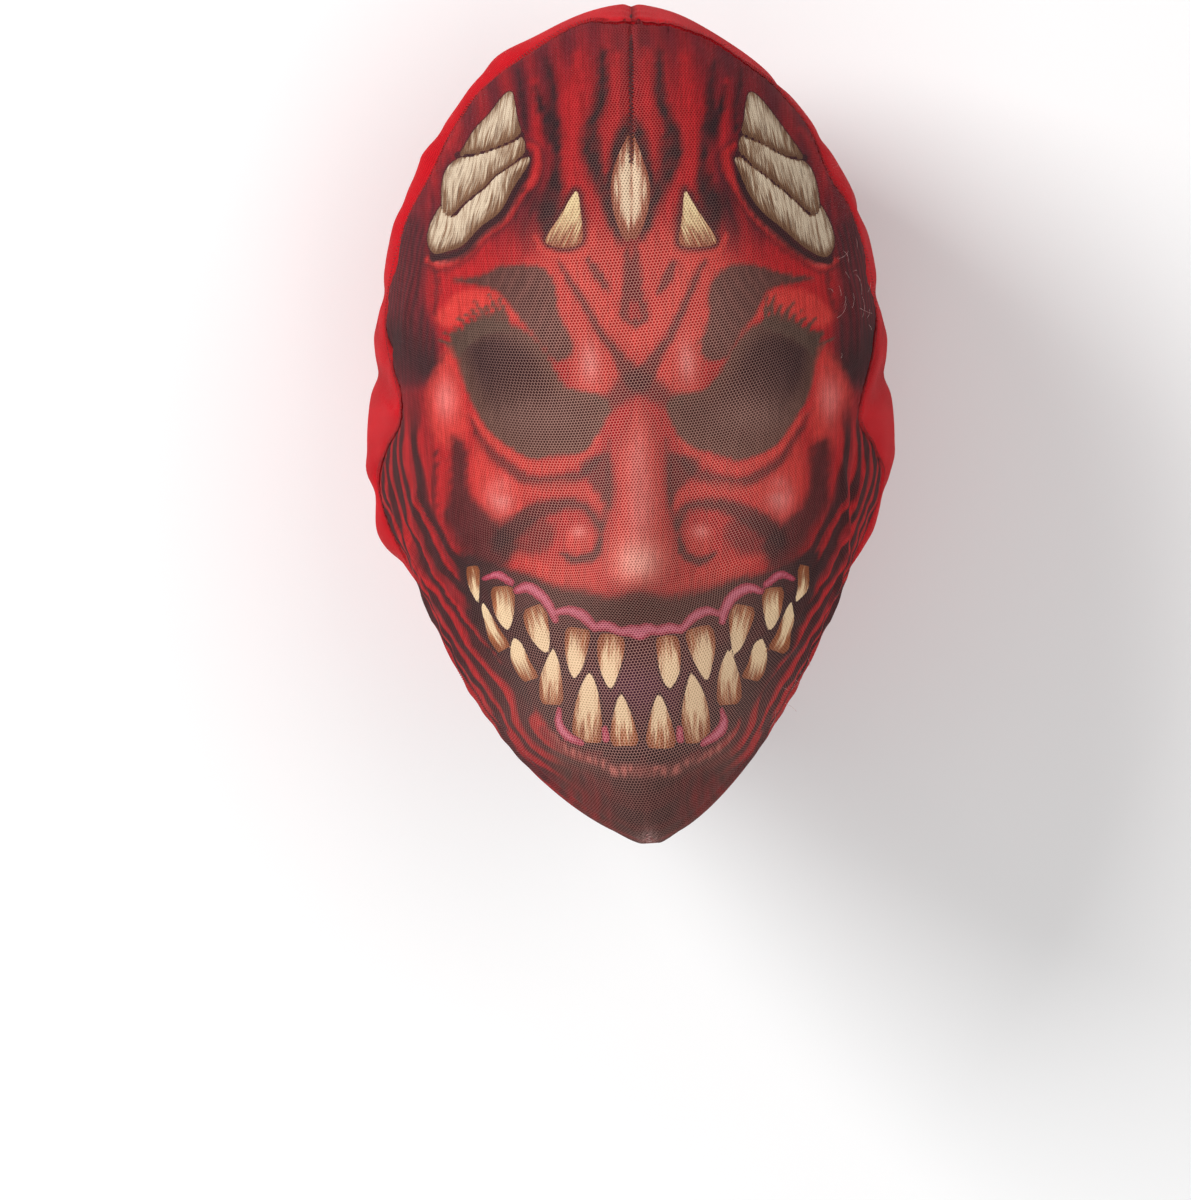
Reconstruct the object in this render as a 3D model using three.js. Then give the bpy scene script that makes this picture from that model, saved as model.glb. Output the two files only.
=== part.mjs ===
// A devil mask of stretch cloth: a hood that covers the whole head, lying on its back.
// A sheer printed panel makes the face, and two plain halves close the back of the head.
// Millimetres. +X is to the right of the printed face, +Y runs to the crown, +Z comes out of the face.
import * as THREE from "three";
import { mergeVertices } from "three/addons/utils/BufferGeometryUtils.js";

// Cloth and seams
const MESH_WALL = 0.8;
const KNIT_WALL = 1.0;
const SEAM_GAP = 0.4;

// How deep the back of the head is before it rests flat, measured from the side plane at z = 0
const REST_DEPTH = 96.5;

// Grid of each panel: steps across it, and rows from the crown to the neck edge, the same on all
// three so that their seams run side by side
const FACE_STEPS = 38;
const HALF_STEPS = 12;
const ROWS = 34;

// The hood is a stack of rings. Each ring starts at a side point, bows forward to a front point and
// back to a rear point. These three lines carry those points from the crown to the neck edge.
// Front and rear points are [height, depth], side points are [half width, height].
const FRONT_LINE = [
  [139, 0],
  [133, 36],
  [112, 66],
  [80, 85],
  [44, 92],
  [6, 93],
  [-33, 95],
  [-72, 95],
  [-108, 88],
  [-138, 68],
  [-125, 32],
];
const SIDE_LINE = [
  [0, 139],
  [27, 129],
  [52, 108],
  [68, 87],
  [77.5, 68],
  [82, 44],
  [81.5, 18],
  [78.5, -8],
  [73.5, -31],
  [67, -48],
  [60, -61],
];
const REAR_LINE = [
  [139, 0],
  [135, -30],
  [122, -57],
  [102, -78],
  [77, -92],
  [48, -99],
  [18, -101],
  [-11, -99],
  [-37, -92],
  [-60, -81],
  [-80, -68],
];

// How square each ring is, front and rear: 2 is an ellipse, less comes to a point, as at the chin
const FRONT_SQUARENESS = [2, 2.05, 2.1, 2.15, 2.2, 2.2, 2.15, 2.05, 1.8, 1.45, 1.6];
const REAR_SQUARENESS = 2.4;

// How far either side of the side line the slopes of a ring's front and rear run into each other
const SIDE_BLEND = 0.1;

// The face seam, from the middle of the forehead's top to the neck edge, as [fall, angle]: fall is 0
// at the crown and 1 at the neck edge, and the angle in degrees is 0 at the middle of the face. It
// swings forward over the temples and in front of the ears, and is pulled back between them.
const SEAM_LINE = [
  [0.105, 4],
  [0.11, 25],
  [0.14, 45],
  [0.19, 62],
  [0.24, 70],
  [0.3, 68],
  [0.37, 74],
  [0.44, 78],
  [0.51, 78],
  [0.575, 65],
  [0.65, 78],
  [0.73, 88],
  [0.81, 82],
  [0.9, 80],
  [1, 83],
];

// Where the top corner of each half lies on the middle line, before and behind the crown
const CROWN_FRONT = 0.103;
const CROWN_REAR = 0.35;

// The seam's scallops are what it has beyond its mean over this share of its length to either side.
// Inside each half they fade out by this power of the way left to the back, so that no rows cross.
const SEAM_EVENING = 0.25;
const EVENING_STEPS = 8;
const SCALLOP_FADE = 3;

// Soft forms that the cloth takes from the head under it, as bells that rise out of the face.
// x is half the space between a pair, and 0 for a single form on the middle line.
const FACE_FORMS = [
  { name: "brow", x: 24, y: 22, wide: 22, tall: 9, rise: 3.5 },
  { name: "eye hollow", x: 31, y: 1, wide: 15, tall: 11, rise: -6 },
  { name: "cheekbone", x: 44, y: -34, wide: 17, tall: 16, rise: 4 },
  { name: "cheek hollow", x: 42, y: -84, wide: 16, tall: 22, rise: -4 },
  { name: "lips", x: 0, y: -88, wide: 20, tall: 9, rise: 3 },
  { name: "chin", x: 0, y: -121, wide: 19, tall: 12, rise: 5 },
];
const NOSE = { top: 12, tip: -54, base: -76, rise: 21, narrow: 9, broad: 17 };

// Forms at the sides, which rise outwards. side is 0 for both sides and -1 for the left one alone.
const SIDE_FORMS = [
  { name: "ear", side: 0, height: -12, depth: -8, tall: 32, deep: 24, rise: 8.5 },
  { name: "slack cloth behind the jaw", side: -1, height: -38, depth: -12, tall: 12, deep: 20, rise: 5 },
];
const FOLD = { pitch: 27, rise: 1.3, angle: 76, spread: 15 };

// The lower face sways to the right, by this much at the chin
const SWAY = { start: -60, chin: -139, shift: 6 };

// Value of a list of evenly spaced stations at t from 0 to 1, on a smooth curve through them.
// before is the value one step before the first.
function along(stations, t, before = 2 * stations[0] - stations[1]) {
  const last = stations.length - 1;
  const spot = THREE.MathUtils.clamp(t, 0, 1) * last;
  const i = Math.min(Math.floor(spot), last - 1);
  const u = spot - i;
  const a = i > 0 ? stations[i - 1] : before;
  const [b, c] = [stations[i], stations[i + 1]];
  const d = i + 2 > last ? 2 * c - b : stations[i + 2];
  return 0.5 * (2 * b + (c - a) * u + (2 * a - 5 * b + 4 * c - d) * u * u + (3 * b - a - 3 * c + d) * u ** 3);
}

const column = (line, k) => line.map((pair) => pair[k]);

// A height and a reach of one of the three lines. Past the crown the height comes down again and the
// reach changes sign, so the hood is level there.
const height = (line, k, t) => along(column(line, k), t, line[1][k]);
const reach = (line, k, t) => along(column(line, k), t, -line[1][k]);

const bell = (offset, spread) => Math.exp(-((offset / spread) ** 2));

// How far the nose lifts the cloth: a ridge that rises from the brow to the tip and drops to the lip.
function noseRise(x, y) {
  const down = THREE.MathUtils.clamp((NOSE.top - y) / (NOSE.top - NOSE.tip), 0, 1);
  const under = THREE.MathUtils.smoothstep(y, NOSE.base, NOSE.tip);
  const width = NOSE.narrow + (NOSE.broad - NOSE.narrow) * down;
  return NOSE.rise * down ** 1.3 * under * bell(x, width);
}

// A point of the hood's outer side: turn is the angle round the ring in degrees, 0 at the middle of
// the face and 180 at the middle of the back, and fall runs from 0 at the crown to 1 at the neck.
function hoodPoint(turn, fall) {
  const angle = THREE.MathUtils.degToRad(Math.abs(turn));
  const front = Math.abs(turn) <= 90;
  const power = 2 / (front ? along(FRONT_SQUARENESS, fall) : REAR_SQUARENESS);
  const out = Math.abs(Math.sin(angle)) ** power;
  const fore = Math.abs(Math.cos(angle)) ** power;
  const forward = front ? fore : -fore;
  const toFront = (forward + Math.hypot(forward, SIDE_BLEND)) / 2;
  const toRear = toFront - forward;
  const sideHeight = height(SIDE_LINE, 1, fall);
  const frontRise = height(FRONT_LINE, 0, fall) - sideHeight;
  const rearRise = height(REAR_LINE, 0, fall) - sideHeight;
  const p = new THREE.Vector3(
    Math.sign(turn) * reach(SIDE_LINE, 0, fall) * out,
    sideHeight + frontRise * toFront + rearRise * toRear,
    reach(front ? FRONT_LINE : REAR_LINE, 1, fall) * fore,
  );
  const foldSize = FOLD.rise * bell(Math.abs(turn) - FOLD.angle, FOLD.spread) * bell(p.y - 10, 70);
  let lift = foldSize * Math.cos((2 * Math.PI * p.y) / FOLD.pitch);
  for (const form of SIDE_FORMS) {
    if (form.side && form.side !== Math.sign(turn)) continue;
    lift += form.rise * bell(p.y - form.height, form.tall) * bell(p.z - form.depth, form.deep);
  }
  p.x += Math.sign(turn) * out * lift;
  if (front) {
    for (const form of FACE_FORMS) {
      const across = form.x ? bell(Math.abs(p.x) - form.x, form.wide) : bell(p.x, form.wide);
      p.z += form.rise * across * bell(p.y - form.y, form.tall) * fore;
    }
    p.z += noseRise(p.x, p.y);
    const low = THREE.MathUtils.clamp((SWAY.start - p.y) / (SWAY.start - SWAY.chin), 0, 1.2);
    p.x += SWAY.shift * low ** 2 * fore;
  }
  p.z = Math.max(p.z, -REST_DEPTH);
  return p;
}

// The way out of the cloth at a point: away from the nearest point of the head's upright axis.
function outward(p) {
  const axis = new THREE.Vector3(0, THREE.MathUtils.clamp(p.y, -70, 45), 0);
  return p.clone().sub(axis).normalize();
}

// A panel of cloth: a flat slab of steps by ROWS cells, bent so that its outer side follows the hood.
// place(across, down), both from 0 to 1, gives [angle, fall].
function panel(name, steps, wall, place, material) {
  const slab = new THREE.BoxGeometry(1, 1, 1, steps, ROWS, 1);
  slab.deleteAttribute("normal");
  slab.deleteAttribute("uv");
  const geometry = mergeVertices(slab, 1e-4);
  const spots = geometry.getAttribute("position");
  for (let i = 0; i < spots.count; i++) {
    const depth = wall * (0.5 - spots.getZ(i));
    const p = hoodPoint(...place(spots.getX(i) + 0.5, 0.5 - spots.getY(i)));
    p.addScaledVector(outward(p), -depth);
    spots.setXYZ(i, p.x, p.y, p.z);
  }
  const mesh = new THREE.Mesh(geometry, material);
  mesh.name = name;
  return mesh;
}

// The edge of a panel at the seam: the seam line, kept half a gap to one side of it.
function seamPlace(down, side) {
  const fall = along(column(SEAM_LINE, 0), down);
  const halfGap = THREE.MathUtils.radToDeg(SEAM_GAP / 2 / reach(SIDE_LINE, 0, fall));
  return [along(column(SEAM_LINE, 1), down) + side * halfGap, fall];
}

function facePlace(across, down) {
  const [angle, fall] = seamPlace(down, -1);
  return [angle * (2 * across - 1), fall];
}

// A half is a patch with four edges: the middle line over the crown, the middle line down the back,
// the neck edge, and the seam. They are drawn on a plan of the hood seen from the crown, where fall
// is the distance out, and the inside of the patch is blended from its edges.
const onPlan = (angle, fall) => {
  const turn = THREE.MathUtils.degToRad(angle);
  return new THREE.Vector2(Math.sin(turn), Math.cos(turn)).multiplyScalar(fall);
};

// The even course of a line, without its scallops, with the line's own ends.
function evenCourse(line) {
  const mean = (v) => {
    const sum = new THREE.Vector2();
    for (let k = -EVENING_STEPS; k <= EVENING_STEPS; k++) {
      sum.add(line(THREE.MathUtils.clamp(v + (SEAM_EVENING * k) / EVENING_STEPS, 0, 1)));
    }
    return sum.divideScalar(2 * EVENING_STEPS + 1);
  };
  const start = line(0).sub(mean(0));
  const end = line(1).sub(mean(1));
  return (v) => mean(v).addScaledVector(start, 1 - v).addScaledVector(end, v);
}

function halfPlace(across, down, side) {
  const top = (u) => new THREE.Vector2(0, THREE.MathUtils.lerp(CROWN_FRONT, -CROWN_REAR, u));
  const rear = (v) => new THREE.Vector2(0, THREE.MathUtils.lerp(-CROWN_REAR, -1, v));
  const seam = (v) => (v > 0 ? onPlan(...seamPlace(v, 1)) : top(0));
  const neck = (u) => onPlan(THREE.MathUtils.lerp(seamPlace(1, 1)[0], 180, u), 1);
  const course = evenCourse(seam)(down);
  const scallop = seam(down).sub(course);
  const spot = new THREE.Vector2()
    .addScaledVector(top(across), 1 - down)
    .addScaledVector(neck(across), down)
    .addScaledVector(course, 1 - across)
    .addScaledVector(scallop, (1 - across) ** SCALLOP_FADE)
    .addScaledVector(rear(down), across)
    .addScaledVector(top(0), -(1 - across) * (1 - down))
    .addScaledVector(top(1), -across * (1 - down))
    .addScaledVector(neck(0), -(1 - across) * down)
    .addScaledVector(neck(1), -across * down);
  return [side * THREE.MathUtils.radToDeg(Math.atan2(spot.x, spot.y)), spot.length()];
}

const printedMesh = new THREE.MeshStandardMaterial({ color: 0xa63c36, roughness: 0.85, metalness: 0 });
const redKnit = new THREE.MeshStandardMaterial({ color: 0xc9252b, roughness: 0.9, metalness: 0 });

const face = panel("face_panel", FACE_STEPS, MESH_WALL, facePlace, printedMesh);
face.position.z = SEAM_GAP;

// The left half is laid out from the back to the seam, so that its outer side stays outside.
const left = panel(
  "hood_back_left",
  HALF_STEPS,
  KNIT_WALL,
  (across, down) => halfPlace(1 - across, down, -1),
  redKnit,
);
left.position.x = -SEAM_GAP / 2;
const right = panel(
  "hood_back_right",
  HALF_STEPS,
  KNIT_WALL,
  (across, down) => halfPlace(across, down, 1),
  redKnit.clone(),
);
right.position.x = SEAM_GAP / 2;

// The mask lies centred on the origin with the back of the head on z = 0.
const mask = new THREE.Group();
mask.add(face, left, right);
mask.updateMatrixWorld(true);
const box = new THREE.Box3().setFromObject(mask, true);
const middle = box.getCenter(new THREE.Vector3());
mask.position.set(-middle.x, -middle.y, -box.min.z);

export default mask;
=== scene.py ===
"""A devil mask of stretch cloth, lying on its back: a sheer printed face and a plain red hood.

Shapes are worked out in millimetres on the hood's own lines, where z = 0 is the plane through its
widest points, and are turned into the frame's metres when a mesh is made. +X is to the right of the
printed face, +Y runs to the crown and +Z comes out of the face.
"""

import logging
from collections.abc import Sequence
from dataclasses import dataclass, replace
from enum import Enum

import bpy
import numpy as np
from mathutils import Matrix, Vector


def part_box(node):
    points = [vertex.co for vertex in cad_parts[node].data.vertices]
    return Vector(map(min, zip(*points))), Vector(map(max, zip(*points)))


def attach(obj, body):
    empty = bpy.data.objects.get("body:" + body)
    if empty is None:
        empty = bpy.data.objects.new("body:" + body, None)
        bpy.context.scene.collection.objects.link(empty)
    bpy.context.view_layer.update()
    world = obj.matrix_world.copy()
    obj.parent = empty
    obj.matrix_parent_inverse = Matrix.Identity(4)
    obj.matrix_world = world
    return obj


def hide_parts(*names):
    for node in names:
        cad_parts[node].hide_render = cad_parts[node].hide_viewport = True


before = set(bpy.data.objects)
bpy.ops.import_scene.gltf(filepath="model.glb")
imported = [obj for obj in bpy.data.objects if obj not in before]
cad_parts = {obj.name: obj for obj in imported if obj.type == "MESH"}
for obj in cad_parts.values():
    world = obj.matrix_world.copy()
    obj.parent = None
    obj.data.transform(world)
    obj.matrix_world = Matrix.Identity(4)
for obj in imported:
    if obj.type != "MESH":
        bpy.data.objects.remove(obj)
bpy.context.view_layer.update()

Array = np.ndarray
Table = tuple[tuple[float, ...], ...]
Material = bpy.types.Material
Piece = bpy.types.Object

log = logging.getLogger("devil_mask")

MM = 0.001
BODY = "root"
REST_DEPTH = 96.5
UV_SPAN = 500.0
SPINE_ENDS = (-70, 45)
FIT_GRID = (35, 39)


class Side(Enum):
    """A side of the hood, as the face is seen. The value is the sign of X there."""

    LEFT = -1
    RIGHT = 1


def srgb(red: float, green: float, blue: float) -> Array:
    """Turn a colour of 0 to 255 as seen on a screen into the linear colour that shaders use.

    Each part is divided by 255 and raised by the usual curve: ((c + 0.055) / 1.055) ^ 2.4.

    Args:
        red, green, blue: the three parts of the colour.

    Returns:
        The linear colour as three numbers.
    """
    part = np.array([red, green, blue]) / 255
    return np.where(part <= 0.04045, part / 12.92, ((part + 0.055) / 1.055) ** 2.4)


def smooth(low: float, high: float, value: Array) -> Array:
    """Rise from 0 at low to 1 at high along 3t^2 - 2t^3, or fall where high is below low."""
    t = np.clip((value - low) / (high - low), 0, 1)
    return t * t * (3 - 2 * t)


def bell(offset: Array, spread: float) -> Array:
    """A bell of height 1: e to the power of minus the square of offset over spread."""
    return np.exp(-((offset / spread) ** 2))


def ripple(x: Array, y: Array, wavelength: float, seed: int) -> Array:
    """Smooth irregular waves between about -1 and 1.

    It is the mean of six sines that run in seeded directions, with lengths around the given one.

    Args:
        x, y: where to read the waves.
        wavelength: the typical distance between two crests.
        seed: which set of waves.

    Returns:
        The height of the waves at each point.
    """
    dice = np.random.default_rng(seed)
    total = np.zeros(np.shape(x))
    for _ in range(6):
        heading, phase = dice.uniform(0, 2 * np.pi, 2)
        reach = 2 * np.pi / (wavelength * dice.uniform(0.7, 1.5))
        total += np.sin((x * np.cos(heading) + y * np.sin(heading)) * reach + phase)
    return total / 3


def cubic(a: Array, b: Array, c: Array, d: Array, u: Array) -> Array:
    """The cubic from b at u = 0 to c at u = 1, with slopes of half the steps a to c and b to d."""
    return 0.5 * (2 * b + (c - a) * u + (2 * a - 5 * b + 4 * c - d) * u**2
                  + (3 * b - a - 3 * c + d) * u**3)


def along(stations: Array, t: Array, before: float | None = None) -> Array:
    """Value of evenly spaced stations at t from 0 to 1, on the cubics through them.

    Args:
        stations: the values in order.
        t: where to read the curve.
        before: the value one step before the first; by default the line goes straight on.

    Returns:
        The values at t.
    """
    first = 2 * stations[0] - stations[1] if before is None else before
    line = np.concatenate([[first], stations, [2 * stations[-1] - stations[-2]]])
    spot = np.clip(t, 0, 1) * (len(stations) - 1)
    i = np.minimum(np.floor(spot).astype(int), len(stations) - 2)
    return cubic(line[i], line[i + 1], line[i + 2], line[i + 3], spot - i)


def flowing(points: Sequence[Sequence[float]], closed: bool = False, steps: int = 5) -> Array:
    """A smooth line through a few points, by the same cubics.

    Args:
        points: the points, each a tuple of any length.
        closed: whether the line comes back to its first point.
        steps: how many pieces each stretch is cut into.

    Returns:
        The points of the smooth line, one row each.
    """
    p = np.asarray(points, float)
    if closed:
        p = np.vstack([p[-1:], p, p[:2]])
    else:
        p = np.vstack([2 * p[:1] - p[1:2], p, 2 * p[-1:] - p[-2:-1]])
    u = np.linspace(0, 1, steps, endpoint=False)[None, :, None]
    line = cubic(p[:-3, None], p[1:-2, None], p[2:-1, None], p[3:, None], u).reshape(-1, p.shape[1])
    return line if closed else np.vstack([line, p[-2:-1]])


def lengths(points: Array, axis: int = 0) -> Array:
    """How far each point lies along its line: the running sum of the steps before it.

    Args:
        points: a line or a grid of points, with x, y and z last.
        axis: the axis that the lines run along.

    Returns:
        The lengths, from 0 at the start of each line.
    """
    steps = np.linalg.norm(np.diff(points, axis=axis), axis=-1)
    start = np.zeros_like(np.take(steps, [0], axis=axis))
    return np.concatenate([start, np.cumsum(steps, axis=axis)], axis=axis)


def spread(line: Array, count: int) -> Array:
    """Points at even distances along a line of points.

    Args:
        line: the points of the line.
        count: how many points to return.

    Returns:
        The points, one row each.
    """
    length = lengths(line)
    stops = np.linspace(0, length[-1], count)
    return np.stack([np.interp(stops, length, column) for column in line.T], axis=1)


def unit(vectors: Array) -> Array:
    """Vectors of length 1 with the same directions."""
    return vectors / np.maximum(np.linalg.norm(vectors, axis=-1, keepdims=True), 1e-9)


def from_spine(points: Array) -> Array:
    """The way to each point from the nearest height on the hood's upright middle line.

    Args:
        points: the points, in any shape.

    Returns:
        One vector for each point.
    """
    spine = np.zeros_like(points)
    spine[..., 1] = np.clip(points[..., 1], *SPINE_ENDS)
    return points - spine


def line_frame(line: Array) -> tuple[Array, Array]:
    """Directions at each point of a line that lies on the cloth.

    Out is the way from the hood's middle line, less its part along the line.

    Args:
        line: the points of the line.

    Returns:
        The unit vectors along the line, and those out of the cloth.
    """
    way = unit(np.gradient(line, axis=0))
    out = from_spine(line)
    return way, unit(out - (out * way).sum(1, keepdims=True) * way)


@dataclass(frozen=True)
class HoodForm:
    """The outer side of the hood as a stack of rings, each from a side point to front and rear.

    Front and rear points are (height, depth) and side points are (half width, height), from the
    crown to the neck edge. Each row of face_forms is a soft form of the face: half the space
    between a pair, height, width, height of the form, and rise. A swell of the side is its height
    and depth, how far it spreads each way, and its rise: side_swell on both sides, slack_swell on
    the left.
    """

    front: Table = (
        (139, 0), (133, 36), (112, 66), (80, 85), (44, 92), (6, 93),
        (-33, 95), (-72, 95), (-108, 88), (-138, 68), (-125, 32),
    )
    sides: Table = (
        (0, 139), (27, 129), (52, 108), (68, 87), (77.5, 68), (82, 44),
        (81.5, 18), (78.5, -8), (73.5, -31), (67, -48), (60, -61),
    )
    rear: Table = (
        (139, 0), (135, -30), (122, -57), (102, -78), (77, -92), (48, -99),
        (18, -101), (-11, -99), (-37, -92), (-60, -81), (-80, -68),
    )
    front_squareness: tuple[float, ...] = (2, 2.05, 2.1, 2.15, 2.2, 2.2, 2.15, 2.05, 1.8, 1.45, 1.6)
    rear_squareness: float = 2.4
    side_blend: float = 0.1
    face_forms: Table = (
        (24, 22, 22, 9, 3.5),
        (31, 1, 15, 11, -6),
        (44, -34, 17, 16, 4),
        (42, -84, 16, 22, -4),
        (0, -88, 20, 9, 3),
        (0, -121, 19, 12, 5),
    )
    nose_top: float = 12
    nose_tip: float = -54
    nose_base: float = -76
    nose_rise: float = 21
    nose_narrow: float = 9
    nose_broad: float = 17
    side_swell: tuple[float, ...] = (-12, -8, 32, 24, 8.5)
    slack_swell: tuple[float, ...] = (-38, -12, 12, 20, 5)
    sway_start: float = -60
    sway_chin: float = -139
    sway_limit: float = 1.2
    sway_shift: float = 6

    def _level(self, line: Table, part: int, fall: Array) -> Array:
        """A height on one of the lines, level over the crown."""
        column = np.array([pair[part] for pair in line], float)
        return along(column, fall, column[1])

    def _reach(self, line: Table, part: int, fall: Array) -> Array:
        """A depth or half width on one of the lines, which changes sign over the crown."""
        column = np.array([pair[part] for pair in line], float)
        return along(column, fall, -column[1])

    def _nose(self, x: Array, y: Array) -> Array:
        """How far the nose lifts the cloth: a ridge that grows from the brow to its tip.

        Args:
            x: how far right of the middle each point is.
            y: how high each point is.

        Returns:
            The lift in millimetres: the rise, times the share of the way down to the power of 1.3,
            times a bell of x.
        """
        down = np.clip((self.nose_top - y) / (self.nose_top - self.nose_tip), 0, 1)
        width = self.nose_narrow + (self.nose_broad - self.nose_narrow) * down
        under = smooth(self.nose_base, self.nose_tip, y)
        return self.nose_rise * down**1.3 * under * bell(x, width)

    def points(self, turn: Array, fall: Array) -> Array:
        """Points of the hood's outer side.

        A ring is a superellipse in plan: its reach to the side is the sine of turn and its reach
        forward the cosine, each to the power of 2 over the squareness. Its height runs from the
        side point's to the front or rear point's with the reach forward. Bells of the soft forms
        are added.

        Args:
            turn: the angle round the ring in degrees, 0 at the middle of the face.
            fall: 0 at the crown and 1 at the neck edge.

        Returns:
            The points in millimetres, with one more axis than turn and fall.
        """
        turn, fall = np.broadcast_arrays(np.asarray(turn, float), np.asarray(fall, float))
        angle = np.radians(np.abs(turn))
        side = np.sign(turn)
        ahead = np.abs(turn) <= 90
        squareness = along(np.array(self.front_squareness), fall)
        power = 2 / np.where(ahead, squareness, self.rear_squareness)
        out = np.abs(np.sin(angle)) ** power
        fore = np.abs(np.cos(angle)) ** power
        forward = np.where(ahead, fore, -fore)
        to_front = (forward + np.hypot(forward, self.side_blend)) / 2
        to_rear = to_front - forward
        side_height = self._level(self.sides, 1, fall)
        front_rise = self._level(self.front, 0, fall) - side_height
        rear_rise = self._level(self.rear, 0, fall) - side_height
        x = side * self._reach(self.sides, 0, fall) * out
        y = side_height + front_rise * to_front + rear_rise * to_rear
        z = np.where(ahead, self._reach(self.front, 1, fall),
                     self._reach(self.rear, 1, fall)) * fore
        lift = np.zeros_like(x)
        for swell, here in ((self.side_swell, 1), (self.slack_swell, side < 0)):
            height, depth, tall, deep, rise = swell
            lift = lift + here * rise * bell(y - height, tall) * bell(z - depth, deep)
        x = x + side * out * lift
        bulge = np.zeros_like(z)
        for apart, height, wide, tall, rise in self.face_forms:
            across = bell(np.abs(x) - apart, wide) if apart else bell(x, wide)
            bulge = bulge + rise * across * bell(y - height, tall) * fore
        z = z + np.where(ahead, bulge + self._nose(x, y), 0)
        low = np.clip((self.sway_start - y) / (self.sway_start - self.sway_chin), 0,
                      self.sway_limit)
        x = x + np.where(ahead, self.sway_shift * low**2 * fore, 0)
        return np.stack([x, y, np.maximum(z, -REST_DEPTH)], axis=-1)


@dataclass(frozen=True)
class FaceSeam:
    """The seam round the printed face, as (fall, angle) from the top of the forehead to the neck.

    The draws are the places where the worn seam is drawn towards the face: how far along the seam,
    the shift and its width, in millimetres.
    """

    form: HoodForm
    stations: Table = (
        (0.105, 4), (0.11, 25), (0.14, 45), (0.19, 62), (0.24, 70), (0.3, 68), (0.37, 74),
        (0.44, 78),
        (0.51, 78), (0.575, 65), (0.65, 78), (0.73, 88), (0.81, 82), (0.9, 80), (1, 83),
    )
    crown_front: float = 0.103
    crown_rear: float = 0.35
    steps: int = 260
    draws_left: Table = (
        (0, 11, 11), (34, 5.4, 15), (59, -1.2, 5), (67, 1.8, 6), (80, -1.2, 6), (91, 0.7, 6),
        (105, -1, 6), (116, 0.8, 5),
    )
    draws_right: Table = (
        (0, 9.4, 9), (15, 9.4, 11), (38, 6.4, 12), (62, 1, 5), (74, -1.2, 5), (88, 1, 5),
        (101, -0.9, 5), (114, 0.9, 6),
    )
    draw_width: float = 13.0
    straight_start: tuple[float, float] = (2, 16)
    probe: tuple[float, float] = (1, 0.004)

    def place(self, down: Array) -> tuple[Array, Array]:
        """Angle and fall of the seam, for down from 0 at its top to 1 at the neck edge."""
        fall, angle = np.array(self.stations, float).T
        return along(angle, down), along(fall, down)

    def line(self, side: Side) -> Array:
        """The seam on one side as evenly spaced points, in millimetres."""
        angle, fall = self.place(np.linspace(0, 1, 4 * self.steps))
        return spread(self.form.points(side.value * angle, fall), self.steps)

    def shift(self, side: Side, gap: Array | float, run: Array) -> Array:
        """How the cloth beside the seam moves where the worn seam is drawn towards the face.

        The way is the cross product of the seam's direction and the form's normal, which lies in
        the cloth, without its part to the side at the seam's top. The size is a sum of bells along
        the seam, times a bell of the distance from it.

        Args:
            side: which seam.
            gap: distance of each point from the seam.
            run: how far along the seam each point is.

        Returns:
            The move of each point in millimetres.
        """
        angle, fall = self.place(np.linspace(0, 1, 4 * self.steps))
        turn = side.value * angle
        line = self.form.points(turn, fall)
        round_it = self.form.points(turn + self.probe[0], fall) - line
        down_it = line - self.form.points(turn, fall - self.probe[1])
        inward = unit(np.cross(np.gradient(line, axis=0), np.cross(round_it, down_it)))
        inward *= np.where(inward[:, 2:] < 0, -1, 1)
        draws = self.draws_left if side is Side.LEFT else self.draws_right
        amount = sum(rise * bell(run - place, wide) for place, rise, wide in draws)
        heading = np.stack([np.interp(run, lengths(line), column) for column in inward.T], axis=1)
        heading[:, 0] *= smooth(*self.straight_start, run)
        return heading * (amount * bell(gap, self.draw_width))[:, None]

    def worn_line(self, side: Side, count: int) -> Array:
        """The seam on one side after it is drawn in, as evenly spaced points."""
        line = self.line(side)
        return spread(line + self.shift(side, 0, lengths(line)), count)


@dataclass(frozen=True)
class Fold:
    """A ridge in the cloth along a line of (turn, fall), or a valley where rise is below 0."""

    places: Table
    width: float
    rise: float


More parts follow.
